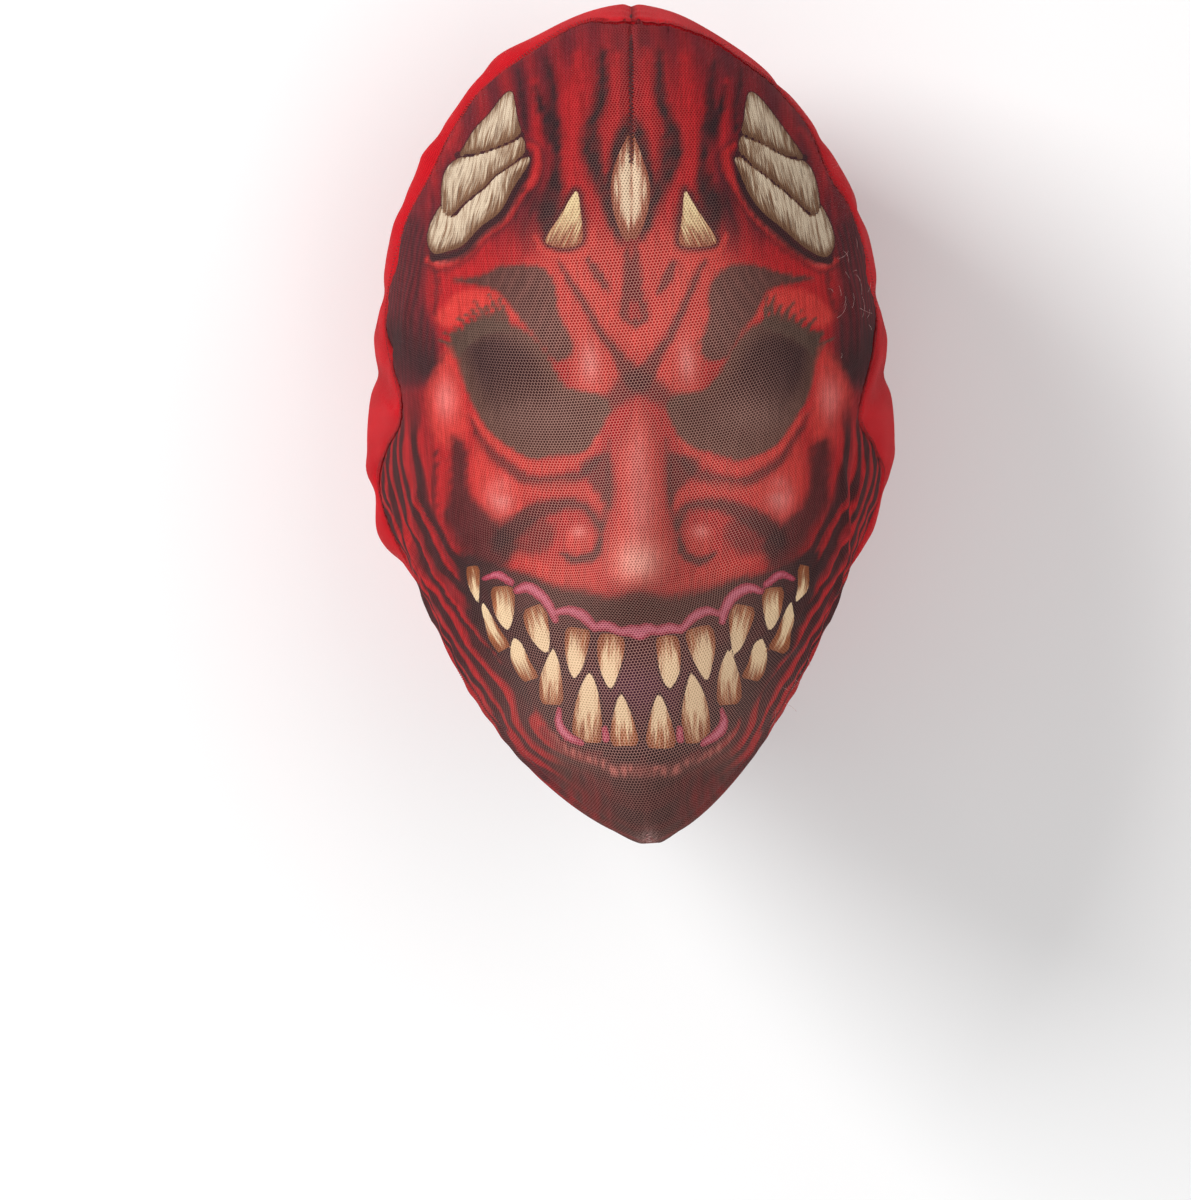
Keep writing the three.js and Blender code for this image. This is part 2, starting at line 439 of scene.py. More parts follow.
@dataclass(frozen=True)
class Drape:
    """How the cloth leaves the smooth hood: it dips at the seams, puffs between them and folds.

    Pinches are (run along the face seam, pull, width) and puffs are (run, rise, width), in
    millimetres from the seam's top.
    """

    form: HoodForm
    seam: FaceSeam
    folds: tuple[Fold, ...]
    pinches: dict[Side, Table]
    puffs: dict[Side, Table]
    dip: float = 0.7
    dip_width: float = 1.6
    pinch_reach: float = 8.0
    puff_start: float = 5.0
    puff_reach: float = 18.0
    gather: float = 0.16
    gather_pitch: float = 3.6
    gather_reach: float = 4.5

    def nearest(self, path: Array, points: Array) -> tuple[Array, Array]:
        """Find the nearest place of a path for each point.

        Args:
            path: the points of the path.
            points: the points to measure from.

        Returns:
            The distance of each point, and how far along the path its nearest place is.
        """
        gap = np.full(len(points), np.inf)
        run = np.zeros(len(points))
        start = 0
        for a, b in zip(path[:-1], path[1:]):
            edge = b - a
            length = max(float(np.linalg.norm(edge)), 1e-6)
            t = np.clip((points - a) @ edge / length**2, 0, 1)
            distance = np.linalg.norm(points - a - t[:, None] * edge, axis=1)
            closer = distance < gap
            gap = np.where(closer, distance, gap)
            run = np.where(closer, start + t * length, run)
            start += length
        return gap, run

    def seam_lift(self, gap: Array, run: Array, side: Side, puff: float) -> Array:
        """Lift of the cloth near the face seam.

        The seam is a groove, a bell of the distance from it. Each pinch draws it in by a bell both
        along and across it, each puff lifts the cloth beside it, and fine gathers run all along.

        Args:
            gap: distance from the seam.
            run: distance along the seam from its top.
            side: which seam.
            puff: how strongly this panel puffs up.

        Returns:
            The lift in millimetres.
        """
        lift = -self.dip * bell(gap, self.dip_width)
        for place, pull, wide in self.pinches[side]:
            lift = lift - pull * bell(run - place, wide) * bell(gap, self.pinch_reach)
        beside = (1 - bell(gap, self.puff_start)) * bell(gap, self.puff_reach)
        for place, rise, wide in self.puffs[side]:
            lift = lift + puff * rise * bell(run - place, wide) * beside
        gathers = np.sin(2 * np.pi * run / self.gather_pitch) * bell(gap, self.gather_reach)
        return lift + self.gather * gathers

    def fold_lift(self, points: Array) -> Array:
        """Lift of all the folds.

        Each is a bell of the distance from its line, times the sine of half a turn along the line
        to the power of 0.6, which fades its ends. Points beyond three widths are left out.

        Args:
            points: the points of the cloth.

        Returns:
            The lift in millimetres.
        """
        total = np.zeros(len(points))
        for fold in self.folds:
            path = flowing(self.form.points(*np.array(fold.places, float).T), steps=4)
            reach = 3 * fold.width
            box = np.all((points > path.min(0) - reach) & (points < path.max(0) + reach), axis=1)
            gap, run = self.nearest(path, points[box])
            fade = np.sin(np.pi * np.clip(run / lengths(path)[-1], 0, 1)) ** 0.6
            total[box] += fold.rise * bell(gap, fold.width) * fade
        return total


def mirrored(*folds: Fold) -> tuple[Fold, ...]:
    """The folds of the right side together with their mirror images on the left."""
    across = (tuple((-turn, fall) for turn, fall in fold.places) for fold in folds)
    return folds + tuple(replace(fold, places=places) for fold, places in zip(folds, across))


PINCHES = {
    Side.LEFT: (
        (64, 0.4, 5), (122, 1.5, 6), (138, 0.6, 4), (155, 1.4, 5), (173, 0.6, 5), (222, 0.9, 8),
        (258, 0.6, 6),
    ),
    Side.RIGHT: (
        (58, 0.4, 5), (92, 0.6, 6), (127, 1.5, 6), (150, 0.5, 5), (186, 0.7, 7), (226, 1.1, 7),
        (262, 0.6, 6),
    ),
}

PUFFS = {
    Side.LEFT: (
        (46, 3, 15), (84, 3, 17), (112, 1.6, 12), (147, 0.2, 6), (190, 0.9, 16), (240, 0.8, 10),
    ),
    Side.RIGHT: (
        (28, -2.4, 14), (78, 0.8, 10), (100, 0.8, 12), (139, -0.4, 8), (168, 0.6, 12),
        (206, 0.9, 12), (244, 0.7, 10),
    ),
}

FACE_FOLDS = (
    Fold(((54.5, 0.6), (58, 0.644), (61.5, 0.699), (64, 0.739), (61.5, 0.775)), 2.6, 1.5),
    Fold(((72, 0.63), (66.5, 0.662), (64, 0.70)), 2, 1.2),
    Fold(((64, 0.61), (63, 0.65), (66, 0.70), (70, 0.75)), 2.2, -1.3),
    Fold(((-84, 0.70), (-68, 0.725), (-60, 0.745), (-57, 0.775)), 2.4, 1.6),
    Fold(((-80, 0.735), (-66, 0.755), (-60, 0.79)), 2.2, -1.4),
    Fold(((-58, 0.64), (-62, 0.68), (-70, 0.71)), 3, 1),
) + mirrored(
    Fold(((72, 0.79), (60, 0.815), (51, 0.86), (41, 0.885), (28, 0.887), (15, 0.885), (5, 0.887)),
         1.7, -1.1),
    Fold(((74, 0.80), (63, 0.84), (55, 0.885), (44, 0.91), (30, 0.913), (16, 0.913)), 2.4, 1),
    Fold(((60, 0.42), (63, 0.47), (62, 0.52)), 3.5, 0.7),
    Fold(((66, 0.83), (60, 0.87), (55, 0.93)), 3, -0.8),
)

KNIT_FOLDS = mirrored(
    Fold(((77, 0.36), (92, 0.39), (112, 0.40)), 4, -1.5),
    Fold(((78, 0.47), (95, 0.50), (118, 0.49), (140, 0.46)), 4.5, -1.8),
    Fold(((80, 0.52), (98, 0.56), (116, 0.58)), 4.5, 0.8),
    Fold(((67, 0.575), (84, 0.58), (100, 0.61), (118, 0.66)), 4.5, -1.8),
    Fold(((68, 0.56), (82, 0.55), (97, 0.53)), 4, 0.2),
    Fold(((90, 0.74), (104, 0.75), (122, 0.74), (146, 0.72)), 4.5, -1.8),
    Fold(((90, 0.79), (106, 0.80), (128, 0.79), (156, 0.76)), 4.5, 1.6),
    Fold(((88, 0.84), (104, 0.85), (126, 0.84), (160, 0.81)), 4, -1.7),
    Fold(((86, 0.90), (110, 0.905), (140, 0.89), (172, 0.87)), 4.5, 1.3),
    Fold(((86, 0.945), (108, 0.95), (134, 0.94), (168, 0.925)), 4, -1.2),
    Fold(((178, 0.62), (166, 0.64), (150, 0.63), (134, 0.65)), 5, -1.2),
    Fold(((178, 0.48), (164, 0.47), (150, 0.49)), 5, -0.9),
    Fold(((70, 0.27), (88, 0.27), (104, 0.28)), 4, -1),
    Fold(((60, 0.185), (78, 0.19), (96, 0.21)), 3.5, -0.9),
) + (
    Fold(((-88, 0.72), (-98, 0.70), (-108, 0.66), (-112, 0.6)), 4.5, 2),
    Fold(((92, 0.70), (101, 0.67), (108, 0.62)), 4, 1.4),
)


RED = srgb(176, 30, 36)
BRIGHT = srgb(206, 60, 54)
DEEP = srgb(142, 24, 32)
MAROON = srgb(92, 28, 38)
DARK = srgb(44, 28, 33)
SHEER = srgb(80, 62, 54)
BROW = srgb(76, 54, 50)
GLOW = srgb(232, 132, 126)
GUM = srgb(162, 52, 76)
GUM_LIGHT = srgb(212, 112, 134)
HORN = srgb(214, 194, 168)
HORN_ROOT = srgb(122, 82, 54)
TOOTH = srgb(238, 208, 166)
TOOTH_ROOT = srgb(160, 82, 36)
MOUTH = srgb(48, 30, 34)
THROAT = srgb(80, 40, 60)
CHIN = srgb(84, 54, 50)


class Artwork:
    """The devil's face that is printed on the net, painted as if by airbrush on a flat sheet.

    The sheet is what is seen from straight in front, in millimetres: x is the distance from the
    print's own centre line, and y the height over the middle of the sockets. Every figure is drawn
    once and shows on both sides. Outlines give (x, y), and strokes also a half width.
    Figures are worked out up to FAR from their edges. WANDER is how far the airbrush strays, and
    FRAY how ragged its edges are.
    """

    FAR = 8.0
    WANDER = 0.55
    FRAY = 0.35

    def __init__(self, across: Array, height: Array, depth: Array) -> None:
        """Lay out the sheet.

        Args:
            across: how far right of the print's centre line each point is.
            height: how high each point is.
            depth: how far in front of the plane z = 0 each point is.
        """
        self.across = across
        self.x = np.abs(across) + self.WANDER * ripple(across, height, 15, 3)
        self.y = height + self.WANDER * ripple(across, height, 15, 4)
        self.depth = depth
        count = len(across)
        self.fuzz = ripple(across * 1.3, height, 3.4, 5)
        self.ink = np.tile(RED, (count, 1))
        self.bone_ink = np.tile(HORN, (count, 1))
        self.root_ink = np.tile(HORN_ROOT, (count, 1))
        self.bone = np.full(count, -self.FAR)
        self.gum = np.full(count, -self.FAR)
        self.dark = np.full(count, -self.FAR)
        self.grain = np.stack([across, height, 0 * height], axis=1)

    def _near(self, line: Array) -> Array:
        """Which points lie close enough to a line to be worked out.

        Args:
            line: the line's points, with side and height first.

        Returns:
            True at each point that is no further than FAR outside the line's box.
        """
        low = line[:, :2].min(0) - self.FAR
        high = line[:, :2].max(0) + self.FAR
        beside = (self.x > low[0]) & (self.x < high[0])
        return beside & (self.y > low[1]) & (self.y < high[1])

    def stroke(self, *spine: Sequence[float]) -> Array:
        """How deep each point is inside a brush stroke, below 0 outside it.

        It is the half width of the stroke, run evenly from point to point of its smooth spine, less
        the distance from the spine.

        Args:
            spine: points of the spine, each with its half width.

        Returns:
            The depth in millimetres at each point.
        """
        line = flowing(spine)
        near = self._near(line)
        x, y = self.x[near], self.y[near]
        best = np.full(len(x), -self.FAR)
        for (ax, ay, a_wide), (bx, by, b_wide) in zip(line[:-1], line[1:]):
            ex, ey = bx - ax, by - ay
            t = np.clip(((x - ax) * ex + (y - ay) * ey) / max(ex * ex + ey * ey, 1e-9), 0, 1)
            gap = np.hypot(x - ax - t * ex, y - ay - t * ey)
            best = np.maximum(best, a_wide + (b_wide - a_wide) * t - gap)
        depth = np.full(len(self.x), -self.FAR)
        depth[near] = best
        return depth

    def area(self, *outline: Sequence[float]) -> Array:
        """How deep each point is inside a smooth closed outline, below 0 outside it.

        It is the distance from the outline, with the sign found by counting crossings.

        Args:
            outline: points of the outline in order.

        Returns:
            The depth in millimetres at each point.
        """
        line = flowing(outline, closed=True)
        near = self._near(line)
        x, y = self.x[near], self.y[near]
        gap = np.full(len(x), self.FAR**2)
        inside = np.zeros(len(x), bool)
        for (ax, ay), (bx, by) in zip(line, np.roll(line, -1, axis=0)):
            ex, ey = bx - ax, by - ay
            t = np.clip(((x - ax) * ex + (y - ay) * ey) / max(ex * ex + ey * ey, 1e-9), 0, 1)
            gap = np.minimum(gap, (x - ax - t * ex) ** 2 + (y - ay - t * ey) ** 2)
            spans = (ay > y) != (by > y)
            slope = ex / ey if abs(ey) > 1e-9 else 0
            inside ^= spans & (x < ax + (y - ay) * slope)
        depth = np.full(len(self.x), -self.FAR)
        depth[near] = np.where(inside, 1, -1) * np.sqrt(gap)
        return depth

    def spot(self, side: float, height: float, wide: float, tall: float) -> Array:
        """A soft round spot, 1 at its middle."""
        return bell(self.x - side, wide) * bell(self.y - height, tall)

    def wash(self, colour: Array, amount: Array) -> None:
        """Lay a colour over the sheet, from not at all at amount 0 to fully at 1."""
        amount = np.clip(amount, 0, 1)[:, None]
        self.ink += (colour - self.ink) * amount

    def brush(self, colour: Array, depth: Array, strength: Array | float, soft: float) -> None:
        """Lay a colour inside a figure, with a slightly frayed edge that fades over twice soft."""
        self.wash(colour, strength * smooth(-soft, soft, depth + self.FRAY * self.fuzz))

    def line(self, colour: Array, strength: Array | float, soft: float,
             *spine: Sequence[float]) -> None:
        """Brush a colour along a stroke."""
        self.brush(colour, self.stroke(*spine), strength, soft)

    def fill(self, colour: Array, strength: float, soft: float, *outline: Sequence[float]) -> None:
        """Brush a colour into a closed outline."""
        self.brush(colour, self.area(*outline), strength, soft)

    def dab(self, colour: Array, strength: float, side: float, height: float, wide: float,
            tall: float) -> None:
        """Lay a soft round spot of a colour."""
        self.wash(colour, strength * self.spot(side, height, wide, tall))

    def set_bone(self, depth: Array, colour: Array, root: Array, shade: Array,
                 grain: Array) -> None:
        """Put a hard figure of horn or tooth on the sheet.

        Args:
            depth: how deep each point is inside it.
            colour: its light colour.
            root: the colour it shades to.
            shade: how far it is shaded at each point.
            grain: across and along its fibres, in millimetres.
        """
        over = depth > np.maximum(self.bone, -1.6)
        self.bone_ink[over] = colour
        self.root_ink[over] = root
        self.grain[over] = np.concatenate([grain, shade[:, None]], axis=1)[over]
        self.bone = np.maximum(self.bone, depth)

    def paint(self) -> None:
        """Paint the whole print, from the ground to the teeth."""
        self.ground()
        self.forehead()
        self.temples()
        self.brows()
        self.sockets()
        self.cheeks()
        self.nose()
        self.edges()
        self.chin()
        self.mouth()
        self.horns()
        self.teeth()

    def ground(self) -> None:
        """The broad areas under everything else."""
        streaks = ripple(self.across * 2.6, self.y * 0.5, 15, 11)
        upper = smooth(50, 74, self.y)
        self.wash(DEEP, upper * (0.72 + 0.25 * streaks))
        self.wash(MAROON, upper * smooth(20, 32, self.x) * (0.72 + 0.25 * streaks))
        self.wash(MAROON, smooth(104, 130, self.y) * (0.6 + 0.2 * streaks))
        self.wash(DEEP, 0.4 * smooth(58, 72, self.x) * smooth(-60, 20, self.y))
        self.fill(BRIGHT, 0.62, 4, (0, 66), (12, 67), (22, 58), (32, 56), (37, 50), (31, 41),
                  (27, 28), (14, 12), (0, 22))
        self.dab(BRIGHT, 0.5, 46, -20, 15, 16)
        self.dab(BRIGHT, 0.45, 24, -47, 15, 5)
        self.wash(MAROON, 0.6 * smooth(-50, -76, self.y) * smooth(40, 56, self.x))

    def forehead(self) -> None:
        """Dark and red stripes up from between the brows, and the bright V over the nose."""
        red = (
            ((18, 122, 1.6), (18.4, 108, 2.4), (18.8, 98, 2.7), (20, 89, 2.8), (19, 82, 2.6),
             (13.5, 74, 2.2), (8, 64, 1.8)),
            ((4.8, 123, 1.2), (5.2, 110, 1.6), (6.4, 98, 1.4), (7.6, 90, 0.8)),
            ((32, 114, 0.8), (31.4, 103, 1.6), (30.8, 92, 1.4)),
            ((56, 98, 0.6), (61.5, 88, 1.2), (66.5, 76, 1.3), (70.5, 62, 0.8)),
        )
        for spine in red:
            self.line(RED, 0.7, 1.8, *spine)
        outer = smooth(58, 67, self.x) * smooth(46, 62, self.y)
        lines = ripple(self.x * 3, self.y * 0.3, 9, 14)
        self.wash(MAROON, outer * (0.6 + 0.3 * lines))
        dark = (
            ((8.8, 124, 0.8), (9.4, 114, 1.8), (10.6, 108, 2.1), (12.4, 102, 1.8), (13.8, 97, 2.4),
             (13.4, 91, 3.4), (12.2, 85, 2.8), (9, 77, 2), (5.8, 68.5, 2.2), (3, 62, 1.6)),
            ((27.8, 121, 0.6), (26.2, 110, 1.6), (26.6, 103, 2.2), (26.2, 98, 3.4),
             (24.4, 92, 1.9), (24, 86, 1.6), (25.4, 79, 2.8), (27.6, 72, 3.2), (28, 66, 1.4)),
            ((31.6, 112, 0.6), (30.4, 106, 1.4), (28, 101, 1.8)),
            ((36.8, 118, 0.4), (35.2, 106, 1), (34.8, 98, 0.7)),
            ((0.5, 101, 1.2), (3.6, 94, 2.3), (5.6, 86, 1.6), (7.4, 79, 1.2)),
        )
        patchy = 0.92 + 0.14 * ripple(self.across, self.y, 5, 13)
        for spine in dark:
            self.line(DARK, patchy, 1.7, *spine)
        hairs = ripple(self.x * 2 + self.y, self.y * 0.6, 6, 9)
        self.wash(DARK, 0.62 * self.spot(33, 70.5, 5, 9) * (0.85 + 0.5 * hairs))
        self.fill(DARK, 0.75, 0.9, (0, 58), (2.2, 57), (3.4, 46), (4.8, 36), (2, 33.5), (-2, 33.5))
        self.line(RED, 0.8, 0.8, (0.6, 41, 0.5), (1.2, 36.4, 1))
        self.line(BRIGHT, 0.95, 1.3, (19.5, 53, 1.6), (15, 45, 2.4), (10.9, 38, 2.8),
                  (6.2, 32.5, 2.8), (0, 27.5, 2.8))
        self.line(DARK, 0.8, 1.2, (24.5, 56, 0.5), (21, 48.5, 1.2), (17.2, 42, 1.4),
                  (11.6, 30.5, 1.5), (7, 24.5, 1.8), (4, 19.5, 3), (0, 15.5, 4.2))
        self.line(DARK, 0.75, 0.9, (14.4, 55, 0.9), (11.6, 50, 1.7), (8.3, 44.5, 0.7))
        self.line(DARK, 0.72, 2.2, (0, 15, 4.6), (6, 11.5, 4), (12, 8.5, 3))
        self.fill(BRIGHT, 0.8, 2, (22.5, 33), (18, 34), (12, 27), (8.4, 20), (9.6, 13), (15, 9.5),
                  (20.5, 12), (21.5, 20))
        self.dab(GLOW, 0.85, 16.2, 21, 3, 6.2)

    def temples(self) -> None:
        """The bright patch over the outer socket, and the dark streaked hollow beside it."""
        self.fill(BRIGHT, 0.8, 1.4, (62.5, 41), (58.5, 44), (52, 45.4), (46, 44.2), (42.4, 40.6),
                  (38, 36.6), (33.4, 31.8), (29, 25.4), (31.2, 26.6), (35, 31.2), (39.4, 34.8),
                  (45.4, 37), (52, 36.4), (57, 34), (62, 32.5), (66.5, 36))
        hollow = self.area((66.5, 64), (76, 70), (88, 60), (90, 36), (84, 16), (72, 13),
                           (66.5, 19), (65.5, 30), (69, 44))
        streaks = np.sin(self.depth / 0.62 + 1.6 * ripple(self.depth, self.y * 0.4, 9, 21))
        self.wash(MAROON, smooth(-3, 2.5, hollow) * 0.9)
        self.wash(DARK, smooth(-1, 3, hollow) * (0.34 + 0.36 * streaks))
        self.dab(DARK, 1, 72, 20.5, 6.5, 8)
        self.dab(DARK, 0.9, 79, 27, 6, 9)
        self.line(DARK, 0.85, 0.8, (71, 18, 1.2), (66, 21, 1.3), (62.5, 25, 0.5))
        self.line(DARK, 0.6, 0.9, (66.5, 60, 0.4), (64.8, 50, 1), (66.5, 38, 0.6))
        self.wash(MAROON, 0.8 * smooth(66, 76, self.x) * self.spot(76, 2, 30, 16))

    def brows(self) -> None:
        """The broad dark brows, with fine light hairs."""
        brow = self.area((60, 48.6), (50.5, 50.2), (41, 53.4), (33, 53.6), (27.8, 50), (25.6, 44),
                         (25.2, 38), (23.2, 33), (21.3, 27.5), (22.4, 22.8), (27.5, 21.4),
                         (31.5, 26), (34.8, 30.8), (40, 37.5), (45, 43.8), (51, 46.6))
        self.brush(BROW, brow, 0.94, 1)
        bend = 1.2 * ripple(self.x, self.y, 14, 31)
        hairs = np.sin((self.x * 0.92 + self.y * 0.4) * 1.5 + bend)
        self.wash(srgb(150, 92, 84), smooth(0, 3, brow) * smooth(0.6, 1, hairs) * 0.16)
        self.wash(DARK, smooth(0.5, 4, brow) * smooth(0.3, -0.8, hairs) * 0.2)

    def sockets(self) -> None:
        """The dark sheer sockets with the lashes of shadow over them, and the folds under them."""
        socket = self.area((61.5, 30.5), (57, 31.5), (51, 34.6), (45, 35.2), (39.2, 33.2),
                           (34.4, 29.6), (30.2, 24), (27.2, 18.4), (23.4, 13.6), (18, 11.2),
                           (12.5, 10), (9, 6), (11.5, 0), (14.5, -5), (21, -8.5), (31, -10.5),
                           (40, -9), (47, -4.5), (52.8, 3), (57, 10.5), (60, 21))
        self.brush(SHEER, socket, 0.95, 1)
        # darker towards the top of each socket: a painted shadow of the brow
        self.wash(DARK, smooth(0.5, 8, socket) * (0.3 + 0.6 * smooth(-4, 22, self.y)))
        self.dab(srgb(118, 88, 80), 0.4, 36, 3, 13, 6)
        lashes = 10
        for number in range(lashes):
            share = number / (lashes - 1)
            x, y = 43.5 + 16.5 * share, 34.4 - 9.5 * share**2
            length = 9 - 2.6 * share + 1.6 * np.sin(2.4 * number)
            lean = np.radians(78 - 44 * share)
            tip = (x + length * np.cos(lean), y + length * np.sin(lean), 0.1)
            self.line(SHEER, 0.92, 0.4, (x, y - 1, 1.8),
                      ((x + tip[0]) / 2 - 0.6, (y + tip[1]) / 2, 0.85), tip)
        self.line(BRIGHT, 0.75, 0.9, (55.5, 4, 0.5), (50.5, -2.5, 1.1), (44, -9, 1.3),
                  (36, -12.6, 1.6), (27, -13.2, 1.8), (19, -9.5, 1.5), (13, -3.5, 0.8))
        self.line(DARK, 0.72, 1.2, (56.5, 4, 0.4), (52.5, -3.5, 1.1), (45.5, -12, 1.6),
                  (37, -17.4, 2.2), (28, -18.6, 2.4), (20, -16.2, 2), (14, -10.5, 1.2))

    def cheeks(self) -> None:
        """Bright cheekbones with pink lights, the fold below them, and the hollows round them."""
        self.fill(BRIGHT, 0.7, 2, (63, 25.5), (60.5, 23), (58.6, 12), (57, 0), (60, -7.5),
                  (66, -6), (69.5, 2), (69.5, 11), (67, 19))
        self.dab(GLOW, 0.62, 63.5, 9, 3, 6.5)
        self.fill(DARK, 0.86, 2, (62.8, -5), (60, -3.5), (56.8, -8), (56.2, -20), (51, -28),
                  (44, -34), (40, -41), (46, -48), (58, -51), (65, -46), (66, -34), (63.6, -20))
        self.line(DARK, 0.8, 0.6, (67, -7, 0.3), (68.2, -20, 0.8), (67.6, -33, 0.8), (66, -46, 0.5))
        self.fill(BRIGHT, 0.55, 2.4, (53, -5), (48, -14), (40, -21), (38.5, -28), (44, -32),
                  (51, -27), (55, -16))
        self.dab(GLOW, 0.85, 46.3, -23.4, 3.6, 4.8)
        self.line(BRIGHT, 0.6, 1.6, (47, -21.5, 1.6), (37, -21, 2), (27, -20.6, 2.3),
                  (17, -21.6, 2.2), (11, -26.5, 1.4))
        self.line(DARK, 0.82, 1.5, (47, -38, 2.6), (41, -33, 3.6), (33, -28, 3), (25, -25.6, 2),
                  (17, -27, 1.5), (12.8, -33, 1.4))
        self.fill(DARK, 0.6, 2.2, (47, -31), (36, -30), (29, -32), (29, -38), (36, -43), (47, -42))
        self.line(BRIGHT, 0.5, 1.8, (40, -43, 1.4), (31, -47.5, 2.4), (21, -50, 2.2),
                  (13, -53, 1.4))
        self.line(DEEP, 0.6, 1.2, (36, -50, 0.6), (26, -53.6, 1.5), (14, -57, 1.2))

    def nose(self) -> None:
        """The bright ridge of the nose with its lit tip, and the two round nostrils."""
        self.fill(DARK, 0.75, 1.4, (20, -12), (13, -8.5), (9.4, -9), (9.2, -18), (9.8, -27),
                  (13.5, -22))
        self.line(DARK, 0.6, 1.5, (8.6, -4, 0.6), (9.8, -14, 1.2), (10.6, -26, 1.3),
                  (13, -34, 1.3), (13.8, -40, 1.1))
        ridge = self.area((0, 8), (2.6, 4), (5.4, -3), (7.4, -10), (8, -20), (8.8, -30),
                          (11.2, -38), (11.8, -44), (9.6, -49.5), (5, -53), (0, -54), (-6, -52),
                          (-6, 4))
        self.brush(BRIGHT, ridge, 0.78, 2.6)
        self.fill(BRIGHT, 0.6, 2, (0, -34), (8, -36), (12.6, -41), (11.4, -47), (6.4, -52.4),
                  (0, -54.4), (-6, -50), (-6, -38))
        self.wash(DEEP, 0.35 * smooth(3, 0, ridge) * smooth(-2, 0, ridge))
        self.dab(GLOW, 0.5, 0, -10, 3.8, 10)
        self.dab(GLOW, 0.52, 0, -28, 4.6, 12)
        self.dab(srgb(248, 168, 152), 0.9, 0.5, -44.5, 6.4, 6)
        self.dab(DARK, 0.8, 0, -56.4, 8, 2)
        bulb = self.area((20, -31), (25, -33.5), (25.8, -38.5), (21.5, -42.4), (16, -41),
                         (14.6, -35.5))
        self.brush(RED, bulb, 0.95, 0.8)
        self.brush(BRIGHT, bulb - 1.2, 0.75, 1.6)
        self.dab(GLOW, 0.7, 20.2, -34.4, 2.4, 1.9)
        self.line(DARK, 0.85, 0.8, (13.4, -37, 0.6), (15, -42.2, 1.5), (20.5, -44.2, 1.6),
                  (25.4, -42, 0.7))

    def edges(self) -> None:
        """Wavy dark stripes round the outer cheek and jaw.

        They are even waves of the distance behind the face's edge line: the depth less the depth at
        which the jaw turns out of sight at that height, bent a little by slow ripples.
        """
        heights = (-150, -139, -133, -123, -107, -90, -74, -57, -24, 20)
        turns_away = (66, 66, 62, 55, 42, 36, 36, 25, 0, 0)
        inward = self.depth - np.interp(self.y, heights, turns_away)
        waves = inward + 4.2 * ripple(self.y, inward * 0.6, 38, 41)
        waves = waves + 1.9 * ripple(self.y, inward, 15, 42)
        stripes = np.sin(2 * np.pi * waves / 10.4)
        fine = np.sin(2 * np.pi * waves / 5 + 1)
        low = smooth(-86, -112, self.y)
        limit = 63 - 20 * low
        zone = smooth(limit + 3, limit - 8, inward) * smooth(14, -6, self.y)
        zone = zone * smooth(26, 34, self.x + 22 * low + 8)
        self.wash(RED, zone * 0.85)
        self.wash(MAROON, zone * 0.5 * smooth(-0.1, 0.8, fine))
        self.wash(DARK, zone * 0.93 * smooth(-0.55, 0.3, stripes))
        self.wash(MAROON, zone * low * 0.25)

    def chin(self) -> None:
        """The dark chin, with the short pale creases of the lower lip over it."""
        chin = self.area((0, -108), (18, -109), (29, -106), (30, -114), (25, -126), (16, -134),
                         (0, -138), (-8, -120))
        self.brush(CHIN, chin, 0.85, 4)
        self.wash(DARK, smooth(0, 9, chin) * 0.5)
        self.line(DARK, 0.7, 1.2, (0, -110.5, 1.6), (14, -110, 1.8), (24, -104.8, 1.6),
                  (31, -97, 1))
        creases = 2.2 * ripple(self.x * 3.4, self.y * 0.7, 8, 51)
        lip = self.stroke((0, -113.6, 2), (9, -113.4, 2), (15, -111.2, 1.4), (24, -107.5, 1.2),
                          (30, -101, 0.8))
        lit = smooth(-1, 1.4, lip) * (0.12 + smooth(0, 1, creases) * 0.56)
        self.wash(srgb(196, 112, 102), lit)
        sides = smooth(-110, -124, self.y) * smooth(6, 22, self.x)
        self.wash(DEEP, sides * (0.35 + 0.25 * ripple(self.x * 2, self.y, 8, 52)))
        threads = 0.75 + 0.25 * ripple(self.across, self.y, 1.6, 53)
        self.wash(srgb(206, 176, 170), 0.55 * self.spot(0, -137, 3.2, 3.2) * threads)

    def mouth(self) -> None:
        """The wide dark grin, its throat, and the scalloped gums."""
        self.fill(MOUTH, 0.96, 1.5, (0, -60), (14, -58.5), (26, -54), (37, -49), (48, -45.5),
                  (57, -41.5), (60.5, -45), (58, -57), (53, -69), (45, -82), (36, -94), (27, -103),
                  (15, -108.6), (0, -109.4), (-14, -85))
        self.line(srgb(44, 24, 26), 0.96, 2, (0, -60.5, 4.2), (14, -59.5, 3.6), (24, -56, 2.6),
                  (36, -51.5, 1.4))
        self.dab(THROAT, 0.9, 0, -87, 15, 8.5)
        scallops = (
            ((51, -50.6, 0.5), (47, -49.2, 1), (42.4, -51.6, 0.8)),
            ((40.6, -54, 0.8), (36.4, -53.2, 1.4), (31.4, -56.4, 1.5), (28.6, -60.8, 1.3),
             (27.5, -64.6, 0.8)),
            ((26.8, -61.6, 0.8), (23, -60.8, 1.3), (18.6, -62.8, 1.4), (15.2, -66, 1.1)),
            ((14.6, -66.6, 1), (10.6, -66.2, 1.5), (6.2, -67.8, 1.2)),
            ((6.2, -67.8, 1.1), (3, -67.4, 1.6), (0, -68.2, 2), (-3, -67.4, 1.6)),
            ((27, -93.4, 0.4), (27.4, -98, 1.2), (24.8, -102, 1.3), (20.4, -104.8, 0.7)),
            ((12.6, -99.6, 0.6), (12.2, -103.4, 1)),
        )
        for spine in scallops:
            self.gum = np.maximum(self.gum, self.stroke(*spine) + 0.35)

